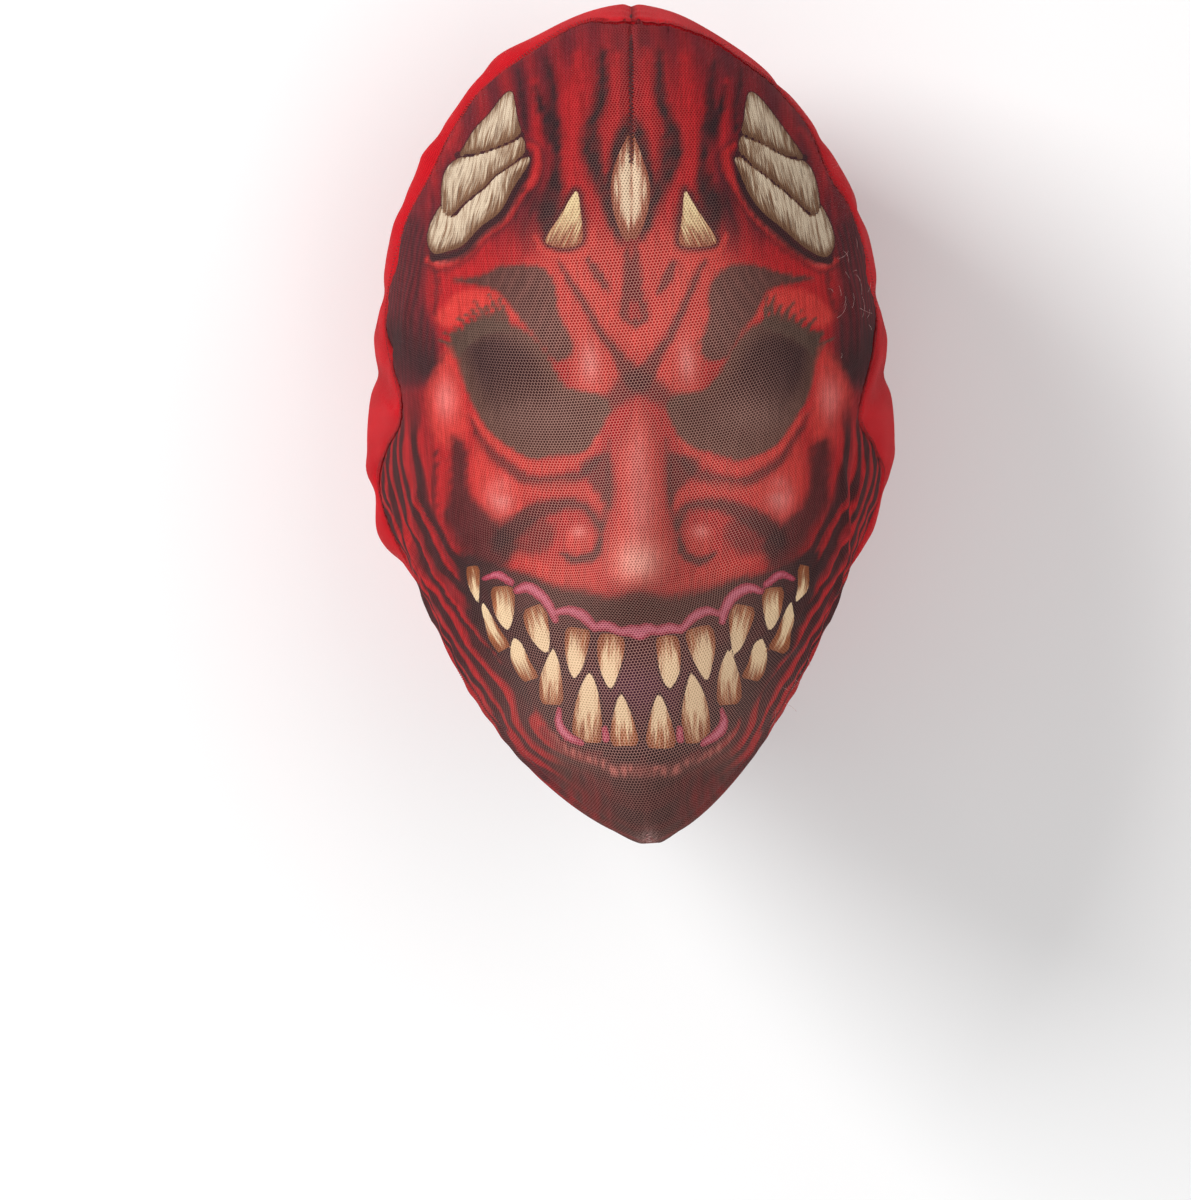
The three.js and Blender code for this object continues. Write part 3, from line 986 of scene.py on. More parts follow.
    def horns(self) -> None:
        """Two big plated horns, the middle horn and two small ones, each with its dark setting."""
        rim = self.stroke((34, 93, 0.8), (31.6, 90.4, 1.2), (31.6, 85.8, 1.5), (33.3, 81.2, 1.7),
                          (37.8, 74.9, 1.9), (41.9, 69.8, 2), (46.4, 65.4, 2.1), (51.4, 61.2, 2.2),
                          (57, 57.4, 2.2), (62.6, 53.6, 1.9), (67.2, 54.6, 0.9))
        self.brush(DARK, rim + 1.4, 0.55, 1)
        lower_end = smooth(86, 62, self.y)
        self.brush(RED, rim, 0.85, 1.3)
        self.wash(BRIGHT, smooth(-0.6, 1.4, rim) * (0.15 + 0.5 * lower_end))
        self.wash(GLOW, 0.2 * smooth(0.3, 1.8, rim) * lower_end)
        tip, root = np.array([46, 112]), np.array([57, 56])
        axis = (root - tip) / np.linalg.norm(root - tip)
        x, y = self.x - tip[0], self.y - tip[1]
        grain = np.stack([x * axis[1] - y * axis[0], x * axis[0] + y * axis[1]], axis=1)
        plates = (
            (((34.4, 88.5), (36, 82.8), (39.5, 76.6), (45.5, 69.2), (53, 62.6), (60, 57.8),
              (64.4, 56.2), (66.8, 60), (66.2, 66), (63.2, 72.4), (58, 74), (50, 80), (42, 86)),
              ((36, 82, 0), (39.5, 75.6, 0), (45.5, 68.2, 0), (53, 61.6, 0), (60, 56.8, 0),
               (65, 55.2, 0))),
            (((36.6, 96), (35.8, 90), (39.6, 85.8), (45.5, 82.4), (50.2, 78.2), (53.4, 74.6),
              (58.8, 70), (62.6, 72), (61.6, 79.6), (58.2, 86.4), (52, 91), (44, 94)),
              ((35.8, 90, 0), (39.6, 85.8, 0), (45.5, 82.4, 0), (50.2, 78.2, 0), (53.4, 74.6, 0),
               (59.6, 69.6, 0))),
            (((38.8, 110), (37.2, 102), (36.8, 96.4), (43.2, 92.8), (50, 90.2), (56.4, 88.6),
              (54.4, 93), (48.6, 101), (42.6, 108)),
              ((36.8, 96.4, 0), (43.2, 92.8, 0), (50, 90.2, 0), (56.6, 88.4, 0))),
        )
        for outline, edge in plates:
            plate = self.area(*outline)
            lower = self.stroke(*edge)
            shade = 0.2 + 1.1 * np.exp(np.minimum(lower, 0) / 6.5) + 0.45 * smooth(2.2, 0, plate)
            below = smooth(0.5, -0.5, plate)
            self.dark = np.maximum(self.dark, np.where(plate > -2, plate + 0.3, -self.FAR))
            self.dark = np.maximum(self.dark, np.where(below > 0.5, lower + 1.5, -self.FAR))
            inner = plate > -0.5
            self.bone = np.where(inner, np.minimum(self.bone, -0.2), self.bone)
            self.set_bone(plate, HORN, HORN_ROOT, shade, grain)
            self.bone = np.where(lower > -0.42, np.minimum(self.bone, -0.1), self.bone)
        self.line(DARK, 0.85, 0.9, (34.2, 89, 0.6), (36.5, 78, 1.5), (46, 66.5, 1.9),
                  (58, 56.5, 1.7), (65.5, 54.5, 1))
        middle = self.stroke((0.2, 96.5, 0.3), (0.2, 88, 3.9), (0.4, 80, 6), (0.6, 73, 5.4),
                             (0.8, 66, 3), (1, 61, 0.3))
        self.brush(DARK, middle + 1.4, 0.8, 1.2)
        self.dab(DEEP, 0.8, 0.6, 61, 3.2, 3.2)
        shade = 0.05 + 1.2 * smooth(4.8, 0, middle) + 0.4 * smooth(76, 62, self.y)
        shade = shade + bell(self.across - 0.3, 0.45)
        own = np.stack([self.x, self.y * 0.8], axis=1)
        self.set_bone(middle, srgb(228, 202, 170), srgb(158, 78, 52), shade, own)
        cleft = 0.75 - 2.2 * np.abs(self.across - 0.3)
        self.dark = np.maximum(self.dark, np.where(middle > 0.2, cleft, -self.FAR))
        small = self.area((17.8, 77.6), (16.8, 70), (16.2, 62), (17.6, 59.4), (22, 58.8),
                          (26.6, 59.8), (28.2, 61.4), (25, 67.4), (20.6, 74.6))
        self.brush(DARK, small + 1.8, 0.8, 1.3)
        self.dab(DARK, 0.5, 27, 70, 4.2, 6.5)
        shade = 0.1 + 0.95 * smooth(76, 59, self.y) + 0.3 * smooth(1.4, 0, small)
        own = np.stack([self.x + 0.4 * self.y, self.y], axis=1)
        self.set_bone(small, srgb(226, 202, 154), srgb(150, 66, 40), shade, own)
        self.line(BRIGHT, 0.7, 0.9, (13.4, 63, 0.7), (14.4, 58.4, 1.3), (21, 56, 1.3),
                  (28, 57.4, 1.3), (32, 62.5, 0.8))

    def tooth(self, root: tuple[float, float], tip: tuple[float, float], half: float, lean: float,
              fullness: float = 1.9) -> None:
        """One tooth, cut square at its root, that tapers to a point.

        At a share r of its length its half width is that of the root times (1 - r^fullness)^0.72,
        and its middle bows out by lean times the sine of a half turn. Its depth is the least
        distance from its two sides and its root.

        Args:
            root: where it leaves the gum.
            tip: its point.
            half: half its width at the root.
            lean: how far its middle bows to the outside.
            fullness: how far down it stays broad.
        """
        start, end = np.array(root), np.array(tip)
        length = float(np.linalg.norm(end - start))
        way = (end - start) / length
        offset = np.stack([self.x - start[0], self.y - start[1]], axis=1)
        run = offset @ way
        off = offset @ (np.array([-way[1], way[0]]) * np.sign(-way[1]))
        share = np.clip(run / length, 0, 1)
        wide = half * (1 - share**fullness) ** 0.72 * (1 - 0.22 * bell(run, 1.3))
        sides = 0.92 * (wide - np.abs(off - lean * np.sin(np.pi * share)))
        depth = np.minimum(np.minimum(sides, run), length - run)
        depth = np.maximum(depth, -self.FAR)
        shade = 0.75 * smooth(1.7, 0.1, sides) * smooth(1, 0.55, share)
        shade += 1.2 * smooth(0.82 * length, -0.08 * length, run)
        self.dark = np.maximum(self.dark, depth + 0.8)
        grain = np.stack([off + 7 * root[0], run], axis=1)
        self.set_bone(depth, TOOTH, TOOTH_ROOT, shade, grain)

    def teeth(self) -> None:
        """Two rows of fangs, largest in the middle, leaning out to the corners of the mouth."""
        upper = (
            ((9.2, -68.8), (10.4, -86.6), 4.3, 0, 2.5),
            ((19.8, -66.4), (22, -83.6), 4.3, 0.3, 2.5),
            ((34.6, -59.2), (31.2, -74.6), 4.4, 0.6, 2.1),
            ((45, -52.8), (43, -67.4), 3.8, 0.5, 2.1),
            ((55.2, -46), (52.6, -58.6), 2.1, 0.2),
        )
        lower = (
            ((6, -106), (6.6, -88.2), 4.7, 0),
            ((18.2, -104.6), (16.6, -81.4), 4.9, 0.4),
            ((29.6, -92.2), (29.2, -73.6), 4.2, 0.3),
            ((36, -83.6), (41, -70.4), 3.3, 0.9, 3.6),
            ((45.2, -74.4), (51.2, -58.6), 2.9, 0.4),
        )
        for sizes in upper + lower:
            self.tooth(*sizes)
        self.bone = np.minimum(self.bone, -0.25 - self.gum)


class Wire:
    """A socket of a shader that can be used in arithmetic; each operation adds one Math node."""

    def __init__(self, shader: "Finish", socket: bpy.types.NodeSocket) -> None:
        """Wrap a socket of the shader's tree."""
        self.shader = shader
        self.socket = socket

    def _math(self, operation: str, *values: object) -> "Wire":
        """Add a Math node with the given operation."""
        return self.shader.node("ShaderNodeMath", {"operation": operation}, dict(enumerate(values)))

    def __add__(self, other: object) -> "Wire":
        """self + other."""
        return self._math("ADD", self, other)

    def __radd__(self, other: object) -> "Wire":
        """other + self."""
        return self._math("ADD", other, self)

    def __sub__(self, other: object) -> "Wire":
        """self - other."""
        return self._math("SUBTRACT", self, other)

    def __rsub__(self, other: object) -> "Wire":
        """other - self."""
        return self._math("SUBTRACT", other, self)

    def __mul__(self, other: object) -> "Wire":
        """self * other."""
        return self._math("MULTIPLY", self, other)

    def __rmul__(self, other: object) -> "Wire":
        """other * self."""
        return self._math("MULTIPLY", other, self)

    def cosine(self) -> "Wire":
        """The cosine of an angle in radians."""
        return self._math("COSINE", self)


class Finish:
    """A material under construction: its nodes, and the one shader that they feed."""

    def __init__(self, name: str, **constants: object) -> None:
        """Start a material.

        Args:
            name: the material's name.
            constants: values of the shader's sockets, with _ for each space in their names.
        """
        self.material = bpy.data.materials.new(name)
        self.material.use_nodes = True
        self.tree = self.material.node_tree
        self.shader = next(n for n in self.tree.nodes if n.type == "BSDF_PRINCIPLED")
        for key, value in constants.items():
            self.shader.inputs[key.replace("_", " ")].default_value = value

    def node(self, kind: str, settings: dict | None = None, values: dict | None = None,
             output: object = 0) -> Wire:
        """Add a node.

        Args:
            kind: the node's type.
            settings: properties that are set first.
            values: numbers, colours or wires by socket name or number.
            output: the socket that is returned.

        Returns:
            The node's output.
        """
        made = self.tree.nodes.new(kind)
        for key, value in (settings or {}).items():
            setattr(made, key, value)
        for key, value in (values or {}).items():
            if isinstance(value, Wire):
                self.tree.links.new(value.socket, made.inputs[key])
            else:
                made.inputs[key].default_value = value
        return Wire(self, made.outputs[output])

    def feed(self, socket: str, wire: Wire) -> None:
        """Link a wire to one of the shader's sockets."""
        self.tree.links.new(wire.socket, self.shader.inputs[socket])

    def attribute(self, name: str, output: str = "Vector") -> Wire:
        """Read an attribute of the mesh."""
        return self.node("ShaderNodeAttribute", {"attribute_name": name}, output=output)

    def part(self, vector: Wire, axis: str) -> Wire:
        """One part of a vector."""
        return self.node("ShaderNodeSeparateXYZ", values={0: vector}, output=axis)

    def cloth(self) -> Wire:
        """Position on the cloth in millimetres, from the piece's own UV map."""
        lay = self.node("ShaderNodeUVMap", {"uv_map": "cloth"})
        return self.node("ShaderNodeVectorMath", {"operation": "SCALE"}, {0: lay, "Scale": UV_SPAN})

    def step(self, low: float, high: float, value: Wire) -> Wire:
        """Rise smoothly from 0 at low to 1 at high."""
        values = {"Value": value, "From Min": low, "From Max": high}
        return self.node("ShaderNodeMapRange", {"interpolation_type": "SMOOTHSTEP"}, values)

    def mix(self, amount: object, first: object, second: object, blend: str = "MIX") -> Wire:
        """Mix two colours: at amount 1 the second, or for MULTIPLY both multiplied."""
        settings = {"data_type": "RGBA", "blend_type": blend}
        return self.node("ShaderNodeMix", settings, {0: amount, 6: first, 7: second}, output=2)

    def noise(self, place: Wire, scale: float, detail: float = 2, rough: float = 0.5) -> Wire:
        """Smooth noise around 0.5."""
        values = {"Vector": place, "Scale": scale, "Detail": detail, "Roughness": rough}
        return self.node("ShaderNodeTexNoise", values=values, output="Fac")

    def grained(self, place: Wire, x: float, y: float, scale: float, detail: float,
                rough: float) -> Wire:
        """Noise around 0.5 on the first two parts of a position, which are stretched by x and y."""
        settings, values = {"operation": "MULTIPLY"}, {0: place, 1: (x, y, 0)}
        return self.noise(self.node("ShaderNodeVectorMath", settings, values), scale, detail, rough)

    def bump(self, height: Wire, distance: float, strength: float, **below: Wire) -> Wire:
        """A bump of the given height in metres, over another one that is given as Normal."""
        values = {"Height": height, "Distance": distance, "Strength": strength}
        return self.node("ShaderNodeBump", values=values | below)


def rgba(colour: Array) -> tuple[float, float, float, float]:
    """A colour with full cover, as sockets take it."""
    return (float(colour[0]), float(colour[1]), float(colour[2]), 1)


@dataclass(frozen=True)
class PrintedNet:
    """Sheer warp-knit net with the print on its threads, open between them."""

    pitch: float = 1.02
    opening: float = 0.42
    lie: tuple[float, ...] = (96, 36, 156)
    relief: float = 0.00022
    # colour of the threads' tops: the bare yarn, and partly a painted highlight
    bare: tuple[float, ...] = (206, 156, 142)
    pale: tuple[float, ...] = (1.5, 1.45, 1.45, 1)
    light: tuple[float, ...] = (1.4, 1.4, 1.4, 1)
    dim: tuple[float, ...] = (0.5, 0.45, 0.45, 1)
    # colour of the painted shade in the holes
    hole_shade: tuple[float, ...] = (0.55, 0.5, 0.5, 1)

    def _waves(self, net: Finish, place: Wire) -> Wire:
        """The net's pattern: the sum of three cosines whose crest lines cross at 60 degrees.

        Args:
            net: the material.
            place: position on the cloth.

        Returns:
            The sum, which is 3 in the middle of a hole and -1.5 on the threads' crossings.
        """
        x, y = net.part(place, "X"), net.part(place, "Y")
        reach = 2 * np.pi / (self.pitch * np.sqrt(3) / 2)
        first, second, third = (
            (x * float(reach * np.cos(angle)) + y * float(reach * np.sin(angle))).cosine()
            for angle in np.radians(self.lie)
        )
        return first + second + third

    def _ground(self, net: Finish, mottle: Wire, streak: Wire) -> Wire:
        """The airbrushed ink, made a little uneven.

        Args:
            net: the material.
            mottle: slow noise.
            streak: noise along the grain.

        Returns:
            The colour.
        """
        ink = net.mix(0.5, net.attribute("ink", "Color"), net.mix(mottle, self.dim, self.pale),
                      "MULTIPLY")
        light = net.mix(net.step(0.35, 0.65, streak), self.dim, self.light)
        return net.mix(0.35, ink, light, "MULTIPLY")

    def _horn(self, net: Finish, grain: Wire, streak: Wire) -> Wire:
        """Horn and tooth: a stain grows from the root along the grain, with dark fibres in it.

        Args:
            net: the material.
            grain: across and along the grain, and how far each place is shaded.
            streak: noise along the grain.

        Returns:
            The colour.
        """
        shade = net.part(grain, "Z")
        root = net.attribute("root_ink", "Color")
        stain = net.step(0.2, 0.95, shade * 0.72 + (streak - 0.5) * 2.2)
        horn = net.mix(stain * 0.92, net.attribute("bone_ink", "Color"), root)
        fibres = net.step(0.52, 0.7,
                          net.grained(grain, 2.3, 0.12, 1, 3, 0.6) + (shade - 0.6) * 0.24)
        return net.mix(fibres * 0.75, horn, net.mix(0.5, root, rgba(DARK)))

    def build(self) -> Material:
        """Make the material: figures over the airbrushed ink, on threads round rows of holes.

        The attribute net says how far the cloth is stretched, which makes the holes wide, how far
        they let one see through, and how much of the bare yarn shows on the threads' tops. The
        holes are darkened, a painted shade of the hood's dark inside, and the threads' tops are
        lightened toward the yarn's colour, partly bare yarn and partly a painted highlight.

        Returns:
            The material.
        """
        net = Finish("printed_net", Roughness=0.85, Specular_IOR_Level=0.08)
        place = net.cloth()
        waves = self._waves(net, place)
        crater = net.step(0.2, 2.2, waves)
        stretched, holes, bare = (net.part(net.attribute("net"), axis) for axis in "XYZ")
        figures = net.attribute("figures")
        grain = net.attribute("grain")
        rough = net.grained(grain, 1, 1, 1.1, 2, 0.6) - 0.5
        bone = net.step(-0.12, 0.12, net.part(figures, "X") + rough * 0.5)
        gum = net.part(figures, "Y") + rough * 1.3
        dark = net.step(-0.35, 0.35, net.part(figures, "Z") + rough * 0.5)
        streak = net.grained(grain, 1.35, 0.09, 1, 3, 0.62)
        mottle = net.noise(place, 0.3, 4, 0.6)
        ink = net.mix(dark * 0.85, self._ground(net, mottle, streak), rgba(DARK))
        lit = net.step(0.4, 1.5, gum + mottle * 1.4 - 0.6) * 0.85
        gums = net.mix(lit, rgba(GUM), rgba(GUM_LIGHT))
        ink = net.mix(net.step(-0.2, 0.25, gum), ink, gums)
        ink = net.mix(bone, ink, self._horn(net, grain, streak))
        # the threads' tops lighten toward the yarn's colour: partly bare yarn where the net is
        # stretched, partly a painted highlight
        crest = net.step(-0.4, -1.4, waves) * (bare * 0.58 + 0.02)
        ink = net.mix(crest, ink, rgba(srgb(*self.bare)))
        # painted shade: the holes are darkened, as if the hood's dark inside showed through
        threads = net.mix(crater * stretched, (1, 1, 1, 1), self.hole_shade)
        net.feed("Base Color", net.mix(1, ink, threads, "MULTIPLY"))
        net.feed("Alpha", 1 - crater * holes * self.opening)
        net.feed("Normal", net.bump(waves * -0.3, self.relief, 0.8))
        return net.material


@dataclass(frozen=True)
class RedKnit:
    """Plain red stretch knit: fine ribs with a short nap that catches light at grazing angles."""

    colour: tuple[float, ...] = (226, 24, 38)
    shade: tuple[float, ...] = (188, 12, 26)
    # colour of the painted shade in the seams and the valleys of the folds
    crease_shade: tuple[float, ...] = (120, 12, 20)
    sheen: tuple[float, ...] = (1, 0.3, 0.28, 1)
    # how dark the grooves between the stitches are: painted shade
    between: tuple[float, ...] = (0.72, 0.66, 0.66, 1)
    rib: float = 0.75
    stitch_share: float = 1.3

    def build(self) -> Material:
        """Make the material: noise varies the red, and ribs of V stitches make its bump.

        A rib is the cosine of the place across, and a stitch the cosine of the place along, moved
        by the rib. The grooves between the stitches are darkened, and a mesh attribute darkens the
        seams and the valleys of the folds: painted shade in all these grooves.

        Returns:
            The material.
        """
        knit = Finish("red_knit", Roughness=0.8, Sheen_Weight=0.12, Sheen_Roughness=0.4,
                      Specular_IOR_Level=0.1, Sheen_Tint=self.sheen)
        place = knit.cloth()
        turn = 2 * np.pi / self.rib
        rib = (knit.part(place, "X") * turn).cosine()
        stitch = (knit.part(place, "Y") * (self.stitch_share * turn) + rib * 1.4).cosine()
        cloud = knit.noise(place, 0.045, 3, 0.55)
        nap = knit.noise(place, 1.6, 3, 0.65)
        tone = knit.step(0.25, 0.75, cloud * 0.55 + nap * 0.45)
        base = knit.mix(tone, rgba(srgb(*self.shade)), rgba(srgb(*self.colour)))
        # painted shade: the grooves between the stitches are darkened
        weave = knit.step(-1.6, 1.6, rib + stitch)
        base = knit.mix(weave, knit.mix(1, base, self.between, "MULTIPLY"), base)
        # painted shade: the seams and the valleys of the folds are darkened
        worn = knit.part(knit.attribute("seam_and_crease_shade"), "X")
        knit.feed("Base Color", knit.mix(worn, base, rgba(srgb(*self.crease_shade))))
        fine = knit.bump(rib * 0.5 + stitch * 0.35, 0.00016, 0.7)
        knit.feed("Normal", knit.bump(nap, 0.0004, 0.5, Normal=fine))
        return knit.material


@dataclass(frozen=True)
class Thread:
    """Sewing thread with a slight twist."""

    name: str
    colour: tuple[float, ...]
    dull: tuple[float, ...]

    def build(self) -> Material:
        """Make the material: noise along the thread varies its colour and its bump.

        Returns:
            The material.
        """
        thread = Finish(self.name, Roughness=0.7)
        place = thread.node("ShaderNodeTexCoord", output="Object")
        fuzz = thread.noise(place, 900, 2, 0.6)
        dull, bright = rgba(srgb(*self.dull)), rgba(srgb(*self.colour))
        thread.feed("Base Color", thread.mix(thread.step(0.3, 0.7, fuzz), dull, bright))
        thread.feed("Normal", thread.bump(fuzz, 0.0002, 0.5))
        return thread.material


@dataclass(frozen=True)
class Backdrop:
    """Matt pale paper under the mask."""

    tone: float = 0.9
    change: float = 0.012

    def build(self) -> Material:
        """Make the material: a near white that hardly varies.

        Returns:
            The material.
        """
        paper = Finish("pale_paper", Roughness=0.9)
        cloud = paper.noise(paper.node("ShaderNodeTexCoord", output="Object"), 6)
        low, high = self.tone - self.change, self.tone + self.change
        paper.feed("Base Color", paper.mix(cloud, (low, low, low, 1), (high, high, high, 1)))
        return paper.material


@dataclass(frozen=True)
class Frame:
    """Where the hood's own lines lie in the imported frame."""

    shift: tuple[float, float, float]

    @classmethod
    def fitted(cls, form: HoodForm, seam: FaceSeam) -> "Frame":
        """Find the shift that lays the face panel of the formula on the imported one.

        Args:
            form: the hood's outer side.
            seam: the seam round the face panel.

        Returns:
            The frame, from the middles of both panels' boxes.
        """
        rows, columns = FIT_GRID
        angle, fall = seam.place(np.linspace(0, 1, rows)[:, None])
        face = form.points(angle * np.linspace(-1, 1, columns), fall).reshape(-1, 3) * MM
        low, high = (np.array(corner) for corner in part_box("face_panel"))
        middle = (low + high) / 2 - (face.min(0) + face.max(0)) / 2
        return cls((float(middle[0]), float(middle[1]), REST_DEPTH * MM))

    def place(self, points: Array) -> Array:
        """Millimetres on the hood's lines as metres in the frame."""
        return points.reshape(-1, 3) * MM + np.array(self.shift)


def grid_quads(rows: int, columns: int, joined: tuple[int, ...] = ()) -> Array:
    """Corner numbers of the quads of a grid, row by row.

    Args:
        rows, columns: how many corners the grid has.
        joined: the axes along which the grid comes back to its start.

    Returns:
        Four corner numbers for each quad.
    """
    numbers = np.arange(rows * columns).reshape(rows, columns)
    for axis in joined:
        numbers = np.concatenate([numbers, np.take(numbers, [0], axis=axis)], axis=axis)
    corners = (numbers[:-1, :-1], numbers[1:, :-1], numbers[1:, 1:], numbers[:-1, 1:])
    return np.stack(corners, axis=-1).reshape(-1, 4)


def grid_normals(grid: Array) -> Array:
    """Outward unit normals of a grid: the cross product of its two gradients.

    They are turned, all together, to point away from the hood's upright middle line.

    Args:
        grid: the points, in rows and columns.

    Returns:
        One normal for each point, as one long list.
    """
    normal = unit(np.cross(np.gradient(grid, axis=1), np.gradient(grid, axis=0)))
    outward = np.median((normal * from_spine(grid)).sum(-1))
    return (normal * np.sign(outward)).reshape(-1, 3)


class Workshop:
    def __init__(self, layout: Frame) -> None:
        """Remember where the hood lies."""
        self.layout = layout

    def piece(self, name: str, slot: str, points: Array, quads: Array, finish: Material,
              cloth: Array | None = None, attributes: dict[str, Array] | None = None) -> Piece:
        """Make one piece of the mask from numpy arrays.

        Args:
            name: the piece's name.
            slot: the name of a material slot; not used.
            points: corners in millimetres on the hood's lines.
            quads: corner numbers, four to a face.
            finish: its material.
            cloth: place of each corner on the flat cloth in millimetres.
            attributes: three numbers per corner under each name.

        Returns:
            The new object, riding on the body.
        """
        mesh = bpy.data.meshes.new(name)
        place = self.layout.place(points)
        mesh.vertices.add(len(place))
        mesh.vertices.foreach_set("co", place.astype(np.float32).ravel())
        mesh.loops.add(quads.size)
        mesh.loops.foreach_set("vertex_index", quads.astype(np.int32).ravel())
        mesh.polygons.add(len(quads))
        mesh.polygons.foreach_set("loop_start", np.arange(0, quads.size, 4, dtype=np.int32))
        mesh.polygons.foreach_set("use_smooth", np.ones(len(quads), bool))
        mesh.update(calc_edges=True)
        if cloth is not None:
            layer = mesh.uv_layers.new(name="cloth")
            flat = cloth.reshape(-1, 2)[quads.ravel()] / UV_SPAN
            layer.data.foreach_set("uv", flat.astype(np.float32).ravel())
        for key, values in (attributes or {}).items():
            made = mesh.attributes.new(key, "FLOAT_VECTOR", "POINT")
            made.data.foreach_set("vector", values.astype(np.float32).ravel())
        mesh.validate()
        mesh.materials.append(finish)
        made = bpy.data.objects.new(name, mesh)
        bpy.context.scene.collection.objects.link(made)
        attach(made, BODY)
        log.info("%s: %d quads", name, len(quads))
        return made

    def threads(self, name: str, slot: str, spines: Array, radius: float,
                finish: Material) -> Piece:
        """Make many short threads as one piece.

        Each spine is dressed with square rings of the given radius, across its own direction, and
        closed at both ends by a quad.

        Args:
            name: the piece's name.
            slot: the name of a material slot; not used.
            spines: an array of threads, points and x, y, z, in millimetres.
            radius: half the thread's thickness in millimetres.
            finish: its material.

        Returns:
            The new object.
        """
        count, steps = spines.shape[:2]
        way = unit(np.gradient(spines, axis=1))
        upright = np.abs(way[..., 2:]) >= 0.8
        across = unit(np.cross(way, np.where(upright, (1, 0, 0), (0, 0, 1))))
        up = np.cross(across, way)
        turns = np.radians((45, 135, 225, 315))[:, None]
        ring = across[:, :, None] * np.cos(turns) + up[:, :, None] * np.sin(turns)
        points = spines[:, :, None] + radius * ring
        size = steps * len(turns)
        sides = grid_quads(steps, len(turns), joined=(1,))[:, ::-1]
        ends = np.array([[0, 1, 2, 3], [size - 1, size - 2, size - 3, size - 4]])
        one = np.concatenate([sides, ends])
        quads = (one + (size * np.arange(count))[:, None, None]).reshape(-1, 4)
        return self.piece(name, slot, points, quads, finish)


@dataclass
class Part:
    """What each part of the mask is made with: the workshop, the hood's form and its face seam."""

    shop: Workshop
    form: HoodForm
    seam: FaceSeam


